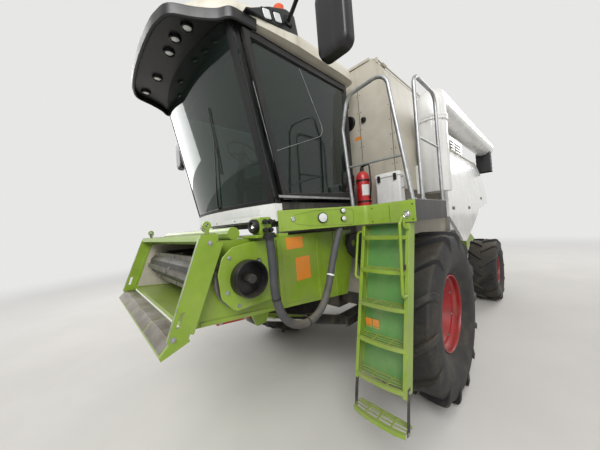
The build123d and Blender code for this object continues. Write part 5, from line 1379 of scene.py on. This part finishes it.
class HARVESTER_OT_lift(Operator):
    """Turns the lift cylinders' barrels and rods"""
    bl_idname = "harvester.lift"
    bl_label = "Lift cylinders"

    def execute(self, context):
        for name, out in SIDES:
            base, eye = Vector((0.610, out * 0.550, 0.780)), Vector((1.850, out * 0.550, 1.230))
            along = (eye - base).normalized()
            reach = (eye - base).length
            barrel = Shape().lathe([(0.0364, 0.056), (0.0364, 0.665), (0.050, 0.665), (0.058, 0.657),
                                    (0.058, 0.600), (0.055, 0.594), (0.055, 0.070), (0.052, 0.045),
                                    (0.030, 0.040), (0.0, 0.040), (0.0, 0.056)], base, along, 40)
            barrel.lathe([(0.0256, -0.062), (0.047, -0.062), (0.048, -0.058), (0.048, 0.058), (0.047, 0.062),
                          (0.0256, 0.062)], base, LEFT, 36)
            barrel.make(f"barrel_{name}", "frame_grey", f"lift_barrel_{name}", replaces=f"lift_barrel_{name}",
                        bevel=0.001)
            rod = Shape().lathe(rectangle(0.0, 0.036, reach - 0.703, reach - 0.045), base, along, 40)
            rod.make(f"rod_{name}", "rod_chrome", f"lift_rod_{name}", replaces=f"lift_rod_{name}")
            end = Shape().lathe([(0.0385, -0.062), (0.060, -0.062), (0.062, -0.058), (0.062, 0.058),
                                 (0.060, 0.062), (0.0385, 0.062)], eye, LEFT, 36)
            end.lathe([(0.0, reach - 0.075), (0.040, reach - 0.075), (0.046, reach - 0.055),
                       (0.0, reach - 0.055)], base, along, 32)
            end.make(f"rod_eye_{name}", "frame_grey", f"lift_rod_{name}", bevel=0.001)
            port = Shape().lathe([(0.0, 0.050), (0.014, 0.050), (0.014, 0.068), (0.010, 0.072), (0.0, 0.072)],
                                 base + along * 0.12, UP, 18)
            port.make(f"barrel_port_{name}", "galvanised", f"lift_barrel_{name}")
        return {"FINISHED"}


# Cab
CAB_LEAN = 0.21
SCREEN_HALF = 0.832
GLASS_BOTTOM = 2.190
BOW_RADIUS = (0.839 ** 2 + 0.130 ** 2) / (2 * 0.130)
BOW_CENTRE = 1.753 + 0.130 - BOW_RADIUS
DOOR_GLASS_Y = 0.861


def bow_x(y, out=0.0):
    """The windscreen's curve in plan, at the height of its lower edge."""
    return BOW_CENTRE + sqrt((BOW_RADIUS + out) ** 2 - y * y)


def on_screen(y, z, out=0.0):
    """A point on the leaning windscreen, or off it by out."""
    return (bow_x(y, out) + CAB_LEAN * (z - GLASS_BOTTOM), y, z)


class HARVESTER_OT_cab(Operator):
    """Trims the cab: glass edges, the door glass's painted highlight lines, handle, strip, wiper, seat and
    steering wheel
    """
    bl_idname = "harvester.cab"
    bl_label = "Cab"

    def execute(self, context):
        self.glass_edges()
        self.door()
        self.strip()
        self.seat()
        self.steering()
        self.wiper()
        self.inside()
        return {"FINISHED"}

    def glass_edges(self):
        """Black bands round the windscreen: its two pillars and its foot."""
        band = Shape()
        for out in OUTWARD:
            rings = []
            for k in range(13):
                z = 2.195 + (3.540 - 2.195) * k / 12
                wide = 0.058 if k else 0.075
                rings.append([on_screen(out * (SCREEN_HALF - wide * s), z, t)
                              for s, t in ((0, 0.0006), (0, 0.006), (0.5, 0.007), (1, 0.006), (1, 0.0006))])
            band.skin(rings)
        foot = ((2.192, 0.0006), (2.192, 0.006), (2.222, 0.006), (2.226, 0.0006))
        across = [-SCREEN_HALF + 2 * SCREEN_HALF * k / 32 for k in range(33)]
        band.skin([[on_screen(y, z, t) for z, t in foot] for y in across])
        band.make("windscreen_bands", "black_plastic")

    def door(self):
        """Painted highlights as bright lines on the door glass, the handle, the sill line and the seal."""
        # painted highlight: two bright lines on the door glass, one along its front edge and one curving
        # across it, stand in for light caught on the glass
        line = Shape()
        y = DOOR_GLASS_Y + 0.0015
        line.tube([(1.900, y, 3.120), (1.705, y, 2.300)], 0.0025, 8)
        line.tube(rounded([(1.381, y, 3.430), (1.083, y, 2.881), (1.740, y, 2.610)], 0.10, 8), 0.0025, 8)
        line.make("door_glass_painted_highlights", "galvanised", "door")
        handle = Shape().tube(rounded([(0.760, 0.877, 2.560), (0.760, 0.905, 2.575), (0.760, 0.905, 2.725),
                                       (0.760, 0.877, 2.740)], 0.016), 0.009, 14)
        handle.prism(rounded_box(0.735, 0.785, 2.540, 2.760, 0.015), 0.8605, 0.8775)
        handle.make("door_handle", "black_plastic", "door", bevel=0.002)
        sill = Shape().prism([(0.700, 2.232), (1.745, 2.232), (1.752, 2.252), (0.700, 2.252)], 0.8773, 0.8793)
        sill.make("door_sill_line", "galvanised", "door")
        seal = Shape()
        low = [(0.716, 2.3085), (1.697, 2.2635), (1.951, 3.4515), (0.716, 3.4515)]
        seal.tube(rounded([(x, DOOR_GLASS_Y + 0.002, z) for x, z in low], 0.03, 5, loop=True), 0.006, 8,
                  loop=True)
        seal.make("door_seal", "rubber", "door")

    def strip(self):
        """Edge trim and bolts of the white strip under the windscreen; its face stays blank."""
        trim = Shape()
        section = ((2.046, 0.0005), (2.046, 0.003), (2.056, 0.003), (2.058, 0.0005))
        across = [-SCREEN_HALF + 2 * SCREEN_HALF * k / 40 for k in range(41)]
        trim.skin([[(bow_x(y, 0.012 + t), y, z) for z, t in section] for y in across])
        trim.make("strip_edge", "black_plastic")
        bolts = Shape()
        for y in (-0.70, -0.35, 0.0, 0.35, 0.70):
            axis = (bow_x(y) - BOW_CENTRE, y, 0)
            bolts.lathe([(0.0, 0.0), (0.009, 0.0), (0.008, 0.003), (0.0, 0.004)],
                        (bow_x(y, 0.012), y, 2.078), axis, 18)
        bolts.make("strip_bolts", "galvanised")
        plate = Shape()
        section = ((2.108, 0.0), (2.108, 0.0015), (2.160, 0.0015), (2.160, 0.0))
        across = [0.16 + 0.52 * k / 16 for k in range(17)]
        plate.skin([[(bow_x(y, 0.0122 + t), y, z) for z, t in section] for y in across])
        paint = finish("pale_plate", (0.70, 0.71, 0.70), (0.66, 0.67, 0.66), 0.3, dust=0.2)
        plate.make("blank_plate", "body_white", material=paint)

    def seat(self):
        """The seat's pedestal, its cushion and its back, both crowned and with raised sides."""
        base = Shape()
        for z0, z1, reach in ((2.2005, 2.235, 0.200), (2.235, 2.490, 0.150), (2.490, 2.5295, 0.200)):
            base.prism(rounded_box(1.075 - reach * 0.87, 1.075 + reach * 0.87, -reach, reach, 0.05), z0, z1,
                       axis="z")
        base.make("seat_base", "black_plastic", bevel=0.006)
        cushion = Shape()
        section = ((-0.258, 2.540), (-0.258, 2.625), (-0.225, 2.652), (-0.15, 2.634), (0.0, 2.628),
                   (0.15, 2.634), (0.225, 2.652), (0.258, 2.625), (0.258, 2.540), (0.0, 2.532))
        rings = []
        for k in range(9):
            x = 0.862 + 0.486 * k / 8
            lift = 0.012 * sin(pi * k / 8) + 0.01 * (k / 8) ** 2
            rings.append([(x, y, z + (lift if z > 2.6 else 0.0)) for y, z in section])
        cushion.skin(rings)
        cushion = cushion.make("seat_cushion", "seat_fabric", replaces="operator_seat", subdivide=1)
        back = Shape()
        section = ((-1.0, 0.02), (-0.98, 0.090), (-0.80, 0.108), (-0.45, 0.086), (0.0, 0.080),
                   (0.45, 0.086), (0.80, 0.108), (0.98, 0.090), (1.0, 0.02), (0.0, 0.004))
        rings = []
        for k in range(9):
            z = 2.645 + 0.630 * k / 8
            x = 0.855 - 0.055 * k / 8
            half = 0.248 - 0.030 * (k / 8) ** 3
            rings.append([(x + dx, y * half, z) for y, dx in section])
        back.skin(rings)
        back = back.make("seat_back", "seat_fabric", subdivide=1)

    def steering(self):
        """The wheel with three spokes, on its column."""
        lean = Vector((-0.5, 0.0, 0.86)).normalized()
        middle = Vector((1.520, 0.0, 2.850)) + lean * 0.013
        across = Vector((0.0, 1.0, 0.0))
        other = lean.cross(across)
        parts = Shape()
        parts.tube([middle + 0.190 * (cos(a) * across + sin(a) * other) for a in turns(40)], 0.0135, 12,
                   loop=True)
        for k in range(3):
            a = radians(90 + 120 * k)
            away = cos(a) * across + sin(a) * other
            parts.tube([middle - lean * 0.012 + away * 0.035, middle - lean * 0.010 + away * 0.11,
                        middle + away * 0.182], [0.013, 0.010, 0.008], 10)
        parts.lathe([(0.0, -0.030), (0.040, -0.030), (0.045, -0.010), (0.042, 0.008), (0.020, 0.014),
                     (0.0, 0.014)], middle, lean, 28)
        parts.tube([(1.620, 0, 2.201), (1.610, 0, 2.26), (1.560, 0, 2.66), (1.535, 0, 2.825)],
                   [0.060, 0.042, 0.038, 0.034], 20)
        parts.make("steering_wheel", "black_plastic", replaces="steering_column")

    def wiper(self):
        """The windscreen wiper at rest."""
        arm = Shape()
        arm.tube([on_screen(0.10, 2.235, 0.020), on_screen(0.16, 2.38, 0.022), on_screen(0.34, 2.80, 0.016)],
                 [0.009, 0.007, 0.004], 10)
        arm.lathe([(0.0, 0.0), (0.020, 0.0), (0.018, 0.020), (0.0, 0.024)], on_screen(0.10, 2.235, 0.001),
                  (1, 0.05, -0.2), 20)
        arm.make("wiper_arm", "black_plastic")
        blade = Shape().tube([on_screen(0.30, 2.52, 0.010), on_screen(0.34, 2.80, 0.011),
                              on_screen(0.375, 3.08, 0.010)], 0.0055, 8)
        blade.make("wiper_blade", "rubber")

    def inside(self):
        """A console with its lever beside the seat, and a grab bar behind the door glass."""
        console = Shape().prism([(1.000, 2.480), (1.420, 2.520), (1.440, 2.600), (1.400, 2.660),
                                 (1.010, 2.600)], -0.420, -0.290)
        console.prism([(1.080, 2.201), (1.300, 2.201), (1.300, 2.525), (1.080, 2.500)], -0.395, -0.315)
        console.make("arm_console", "black_plastic", bevel=0.012, segments=3)
        lever = Shape().tube([(1.370, -0.355, 2.640), (1.385, -0.355, 2.720)], 0.010, 12)
        lever.lathe([(0.0, 0.0), (0.020, 0.010), (0.027, 0.045), (0.020, 0.085), (0.0, 0.095)],
                    (1.387, -0.355, 2.705), (0.1, 0, 1), 20)
        lever.make("drive_lever", "black_plastic")
        bar = Shape().tube(rounded([(1.480, 0.775, 2.205), (1.480, 0.775, 2.900), (1.540, 0.775, 3.050)],
                                   0.08), 0.014, 14)
        bar.make("door_grab_bar", "black_plastic")


# Deck and tank wall
DECK_TOP = 2.130
TANK_FRONT = 0.420
EXTINGUISHER = (0.560, 0.930, DECK_TOP)


class HARVESTER_OT_deck(Operator):
    """Dresses the deck and the tank wall: extinguisher, tool box, seams, caps and edge strips"""
    bl_idname = "harvester.deck"
    bl_label = "Deck"

    def execute(self, context):
        self.extinguisher()
        self.tool_box()
        self.tank_wall()
        self.edge()
        return {"FINISHED"}

    def extinguisher(self):
        """The bottle with its valve, hose, straps and blank label."""
        at = EXTINGUISHER
        x, y, _ = at
        body = Shape().lathe([(0.0, 0.0005), (0.068, 0.0005), (0.075, 0.008), (0.075, 0.330), (0.071, 0.362),
                              (0.058, 0.392), (0.036, 0.412), (0.022, 0.420), (0.0, 0.420)], at, UP, 40)
        body.make("extinguisher_body", "safety_red", replaces="fire_extinguisher")
        top = Shape().lathe([(0.0, 0.415), (0.022, 0.418), (0.022, 0.455), (0.014, 0.462), (0.014, 0.480),
                             (0.0, 0.480)], at, UP, 20)
        top.tube([(0.560, 0.930, 2.600), (0.590, 0.960, 2.612), (0.625, 1.000, 2.606)], 0.006, 10)
        top.tube(rounded([(0.560, 0.932, 2.600), (0.590, 1.040, 2.610), (0.600, 1.052, 2.380),
                          (0.566, 1.010, 2.235)], 0.035), 0.009, 12)
        for z in (2.205, 2.440):
            top.lathe(rectangle(0.0752, 0.0785, -0.010, 0.010), (x, y, z), UP, 36)
        top.make("extinguisher_valve", "black_plastic")
        label = Shape()
        rings = []
        for k in range(9):
            a = radians(20 + 70 * k / 8)
            rings.append([(x + r * cos(a), y + r * sin(a), z) for r, z in
                          ((0.0752, 2.270), (0.0760, 2.270), (0.0760, 2.390), (0.0752, 2.390))])
        label.skin(rings)
        label.make("extinguisher_plate", "body_white")

    def tool_box(self):
        """The white box on the deck, with its lid, latches and grip."""
        case = Shape().prism(rounded_box(0.430, 0.545, 1.075, 1.340, 0.016), 2.1303, 2.428, axis="z")
        rings = []
        for z, inset in ((2.430, 0.0), (2.462, 0.0), (2.472, 0.006), (2.479, 0.020)):
            outline = rounded_box(0.424 + inset, 0.551 - inset, 1.069 + inset, 1.346 - inset, 0.018)
            rings.append([(x, y, z) for x, y in outline])
        case.skin(rings)
        case.make("tool_box_case", "body_white", replaces="tool_box", bevel=0.002)
        dark = Shape()
        for y in (1.120, 1.295):
            dark.prism(rounded_box(y - 0.016, y + 0.016, 2.385, 2.455, 0.006), 0.5455, 0.5585, axis="x")
        dark.make("tool_box_latches", "black_plastic", bevel=0.002)
        grip = Shape().tube(rounded([(0.500, 1.341, 2.300), (0.500, 1.372, 2.300), (0.500, 1.372, 2.410),
                                     (0.500, 1.341, 2.410)], 0.012), 0.006, 12)
        grip.make("tool_box_grip", "galvanised")

    def tank_wall(self):
        """Riveted seams, round caps and a blank plate on the tank's front wall, and its rim."""
        seams = Shape()
        for y in (0.870, 1.250):
            z0 = 2.14
            z1 = 3.60 if y < 1.0 else 3.35
            seams.box(0.4203, 0.4225, y - 0.0025, y + 0.0025, z0, z1)
            for k in range(7):
                z = z0 + 0.12 + (z1 - z0 - 0.24) * k / 6
                for dy in (-0.022, 0.022):
                    seams.lathe([(0.0, 0.0), (0.0055, 0.0), (0.0045, 0.003), (0.0, 0.0035)],
                                (TANK_FRONT, y + dy, z), AHEAD, 12)
        seams.make("tank_seams", "frame_grey", smooth=False)
        caps = Shape().lathe([(0.0, 0.0), (0.090, 0.0), (0.090, 0.010), (0.082, 0.022), (0.060, 0.026),
                              (0.0, 0.026)], (TANK_FRONT, 0.720, 3.200), AHEAD, 40)
        caps.lathe([(0.0, 0.0), (0.030, 0.0), (0.032, 0.018), (0.022, 0.034), (0.0, 0.037)],
                   (TANK_FRONT, 0.927, 3.175), AHEAD, 28)
        caps.make("tank_caps", "black_plastic", bevel=0.001)
        plate = Shape().prism(rounded_box(0.79, 0.87, 2.965, 3.005, 0.005), 0.4202, 0.4218, axis="x")
        plate.make("tank_plate", "beacon_orange", material=label_finish())
        # folded rim round the tank's mouth
        rim = Shape()
        for out in OUTWARD:
            rim.tube([(x, out * 1.0865, 3.806) for x in (-1.846, -1.2, -0.6, 0.0, 0.416)], 0.0075, 10)
        rim.make("tank_rim", "tank_grey")

    def edge(self):
        """The bright strip on the deck's edge and the grip buttons of its sheet."""
        strip = Shape().prism(rectangle(0.184, 0.996, 2.1302, 2.1335), 1.618, 1.6385)
        for k in range(9):
            x = 0.30 + 0.08 * k
            strip.lathe([(0.0, 0.0), (0.007, 0.0), (0.006, 0.003), (0.0, 0.003)],
                        (x, 1.595, DECK_TOP), UP, 14)
        strip.make("deck_edge", "galvanised", bevel=0.0008)
        # raised grip buttons of the deck sheet
        grips = Shape()
        for i in range(11):
            for j in range(12):
                x, y = 0.475 + 0.046 * i, 1.010 + 0.047 * j
                if (0.40 < x < 0.60 and y < 1.37) or (x - 0.56) ** 2 + (y - 0.93) ** 2 < 0.014:
                    continue
                grips.lathe([(0.0, 0.0001), (0.011, 0.0001), (0.008, 0.0035), (0.0, 0.0040)],
                            (x, y, DECK_TOP), UP, 8)
        grips.make("deck_grips", "frame_grey")


# Sides and rear: the auger's turning axis and tube height, the exhaust and the middle of the radiator screen
AUGER = (-0.060, 1.490, 3.300)
EXHAUST = (-2.780, -0.640, 0)
SCREEN_X = -2.430
SCREEN_Z = 3.080
SCREEN_RADIUS = 0.345
SCREEN_GAPS = 30


class HARVESTER_OT_rear(Operator):
    """Finishes the sides and the rear: auger, panels, engine bay, hood and chopper"""
    bl_idname = "harvester.rear"
    bl_label = "Sides and rear"

    def execute(self, context):
        self.auger()
        self.panels()
        self.bay()
        self.screen()
        self.hood()
        return {"FINISHED"}

    def auger(self):
        """The turret, its bolts, the bent tube with its flanges and the folded rubber spout."""
        x, y, z = AUGER
        turret = Shape().lathe([(0.0, 2.250), (0.150, 2.250), (0.155, 2.258), (0.155, 3.028), (0.167, 3.032),
                                (0.167, 3.0592), (0.0, 3.0592)], (x, y, 0), UP, 44)
        turret.box(x - 0.100, x + 0.100, 1.3203, y - 0.100, 2.250, 2.580)
        turret.make("turret", "body_white", replaces="auger_turret", bevel=0.002)
        bolts = Shape()
        for a in turns(12):
            bolts.bolt((x + 0.159 * cos(a), y + 0.159 * sin(a), 3.022), (cos(a), sin(a), 0.0), 0.006,
                       washer=False)
        bolts.make("turret_bolts", "galvanised")
        tube = Shape().tube(rounded([(x, y, 3.0605), (x, y, z), (-3.478, y, z)], 0.21, 14), 0.1545, 40)
        tube.lathe([(0.10, 3.0605), (0.166, 3.0605), (0.167, 3.064), (0.167, 3.086), (0.160, 3.090),
                    (0.10, 3.090)], (x, y, 0), UP, 44)
        for at in (-1.10, -2.20, -3.20):
            tube.lathe(rectangle(0.150, 0.1575, -0.016, 0.016), (at, y, z), AHEAD, 44)
        tube.make("auger_pipe", "body_white", "auger", replaces="auger_tube", bevel=0.001)
        rings = []
        for k in range(11):
            height = 3.205 - 0.405 * k / 10
            pleat = 0.004 * (k % 2) * (0 < k < 10)
            outline = rounded_box(-3.460 + pleat, -3.220 - pleat, y - 0.120 + pleat, y + 0.120 - pleat,
                                  0.02, 3)
            rings.append([(a, b, height) for a, b in outline])
        spout = Shape().skin(rings, caps=False)
        inner = [[(a + (0.012 if a < -3.34 else -0.012), b + (0.012 if b < y else -0.012), h)
                  for a, b, h in r] for r in rings]
        spout.skin(inner, caps=False)
        spout.make("spout_sleeve", "rubber", "auger", replaces="auger_spout")

    def panels(self):
        """Three latch plates on the outer face of each side panel."""
        centre_y, centre_z, radius = PANEL_ARC
        for name, out in SIDES:
            latches = Shape()
            for x in (-0.45, -1.30, -2.30):
                z = 2.06 if x > -2.0 else 2.22
                y = out * (centre_y + sqrt(radius ** 2 - (z - centre_z) ** 2))
                latches.prism(rounded_box(x - 0.045, x + 0.045, z - 0.020, z + 0.020, 0.010), y - out * 0.004,
                              y + out * 0.006)
            latches.make(f"panel_latches_{name}", "black_plastic", f"side_panel_{name}", bevel=0.0015)

    def bay(self):
        """Louvres on the engine bay's left side, and the exhaust stack with its bands."""
        louvres = Shape()
        for row in range(7):
            z = 3.02 + 0.055 * row
            for x0 in (-2.93, -2.40):
                louvres.prism([(1.1803, z), (1.1960, z - 0.004), (1.1965, z + 0.004), (1.1803, z + 0.036)],
                              x0, x0 + 0.44, axis="x")
        louvres.make("bay_louvres", "body_white", bevel=0.0012)
        stack = Shape().lathe([(0.048, 3.790), (0.0625, 3.790), (0.0640, 3.770), (0.0640, 3.484),
                               (0.100, 3.482), (0.100, 3.4805), (0.048, 3.4805)], EXHAUST, UP, 36)
        stack.make("exhaust_stack", "steel")
        bands = Shape()
        for z in (3.53, 3.72):
            bands.lathe(rectangle(0.0640, 0.0665, z, z + 0.016), EXHAUST, UP, 36)
        bands.make("exhaust_bands", "galvanised")

    def screen(self):
        """The fine wires and the wiping arm of the round radiator screen."""
        x, z = SCREEN_X, SCREEN_Z
        ring = Shape().lathe([(0.345, -1.1805), (0.370, -1.1805), (0.370, -1.2360), (0.364, -1.2398),
                              (0.352, -1.2398), (0.345, -1.2340)], (x, 0, z), LEFT, 64)
        ring.lathe(rectangle(0.0, 0.346, -1.2270, -1.2240), (x, 0, z), LEFT, 64)
        ring.make("screen_drum", "black_plastic", replaces="radiator_screen")
        wires = Shape()
        for k in range(1, SCREEN_GAPS):
            off = -SCREEN_RADIUS + 2 * SCREEN_RADIUS * k / SCREEN_GAPS
            half = sqrt(SCREEN_RADIUS ** 2 - off ** 2)
            wires.tube([(x - half, -1.2285, z + off), (x + half, -1.2285, z + off)], 0.0011, 4)
            wires.tube([(x + off, -1.2300, z - half), (x + off, -1.2300, z + half)], 0.0011, 4)
        wires.make("screen_wires", "steel")
        arm = Shape().tube([(x, -1.2340, z), (x + 0.17, -1.2340, z + 0.17), (x + 0.238, -1.2340, z + 0.238)],
                           [0.0055, 0.0045, 0.004], 10)
        arm.lathe([(0.0, -1.2395), (0.030, -1.2395), (0.034, -1.2300), (0.0, -1.2300)], (x, 0, z), LEFT, 24)
        arm.make("screen_arm", "galvanised")

    def hood(self):
        """Pressed ribs on the hood's sides, the chopper's guide fins and the rear reflectors."""
        ribs = Shape()
        for out in OUTWARD:
            for z in (1.80, 2.05, 2.30):
                start, end = -3.15, -4.60 - 0.10 * (2.30 - z)
                ribs.prism(rounded_box(end, start, z, z + 0.055, 0.026), out * 0.8502, out * 0.8580)
        ribs.make("hood_ribs", "body_white", bevel=0.003)
        fins = Shape()
        for k in range(9):
            y = -0.70 + 0.175 * k
            lean = 0.06 * (k - 4) / 4
            rings = []
            for x, z, drop in ((-5.34, 1.300, 0.10), (-5.55, 1.205, 0.13), (-5.80, 1.098, 0.10)):
                shift = lean * (-5.34 - x) / 0.46
                rings.append([(x, y + shift - 0.002, z), (x, y + shift + 0.002, z),
                              (x, y + shift + 0.002, z - drop), (x, y + shift - 0.002, z - drop)])
            fins.skin(rings)
        fins.make("chopper_fins", "chassis_green")
        marks = Shape()
        for out in OUTWARD:
            marks.prism(rounded_box(out * 0.60, out * 0.68, 1.92, 2.08, 0.01), -4.9545, -4.9503, axis="x")
        marks.make("rear_reflectors", "safety_red", bevel=0.001)


class HARVESTER_OT_edges(Operator):
    """Softens the sharp edges of the flat-sided pieces that stay as they came from CAD"""
    bl_idname = "harvester.edges"
    bl_label = "Soft edges"

    def execute(self, context):
        # node and the width of its rounded edge
        widths = {"feeder_front_frame": 0.003, "feeder_house": 0.004, "platform_deck": 0.003,
                  "cab_base": 0.004, "chassis_frame": 0.005, "front_axle": 0.006, "rear_axle_beam": 0.006,
                  "knuckle_left": 0.004, "knuckle_right": 0.004, "tie_rod": 0.002, "threshing_body": 0.008,
                  "engine_block": 0.02, "engine_bay": 0.010, "rear_hood": 0.008, "straw_chopper": 0.003,
                  "side_panel_left": 0.006, "side_panel_right": 0.006, "grain_tank": 0.004,
                  "tank_cover_left": 0.004, "tank_cover_right": 0.004, "cab_frame": 0.003, "cab_door": 0.004,
                  "cab_front_panel": 0.004, "feeder_chain": 0.002}
        for name, width in widths.items():
            modifier = frame["nodes"][name].modifiers.new("Rounded edges", "BEVEL")
            modifier.width = width
            modifier.segments = 2
            modifier.limit_method = "ANGLE"
            modifier.angle_limit = radians(40)
        return {"FINISHED"}


OPERATORS = [HARVESTER_OT_stage, HARVESTER_OT_paint, HARVESTER_OT_hose, HARVESTER_OT_tyres, HARVESTER_OT_rims,
             HARVESTER_OT_ladder, HARVESTER_OT_rails, HARVESTER_OT_roof, HARVESTER_OT_fascia,
             HARVESTER_OT_feeder, HARVESTER_OT_lift, HARVESTER_OT_cab, HARVESTER_OT_deck, HARVESTER_OT_rear,
             HARVESTER_OT_edges]


class HARVESTER_PT_panel(Panel):
    bl_label = "Harvester"
    bl_idname = "HARVESTER_PT_panel"
    bl_space_type = "VIEW_3D"
    bl_region_type = "UI"
    bl_category = "Harvester"

    def draw(self, context):
        for group in (context.scene.harvester_look, context.scene.harvester_stage):
            for name in group.__annotations__:
                self.layout.prop(group, name)
        for operator in OPERATORS:
            self.layout.operator(operator.bl_idname)


CLASSES = [StageLook, HarvesterLook, *OPERATORS, HARVESTER_PT_panel]


def register():
    for kind in CLASSES:
        bpy.utils.register_class(kind)
    bpy.types.Scene.harvester_look = PointerProperty(type=HarvesterLook)
    bpy.types.Scene.harvester_stage = PointerProperty(type=StageLook)


def unregister():
    del bpy.types.Scene.harvester_stage
    del bpy.types.Scene.harvester_look
    for kind in reversed(CLASSES):
        bpy.utils.unregister_class(kind)


def main():
    register()
    for operator in OPERATORS:
        group, name = operator.bl_idname.split(".")
        getattr(getattr(bpy.ops, group), name)()


if __name__ == "__main__":
    main()
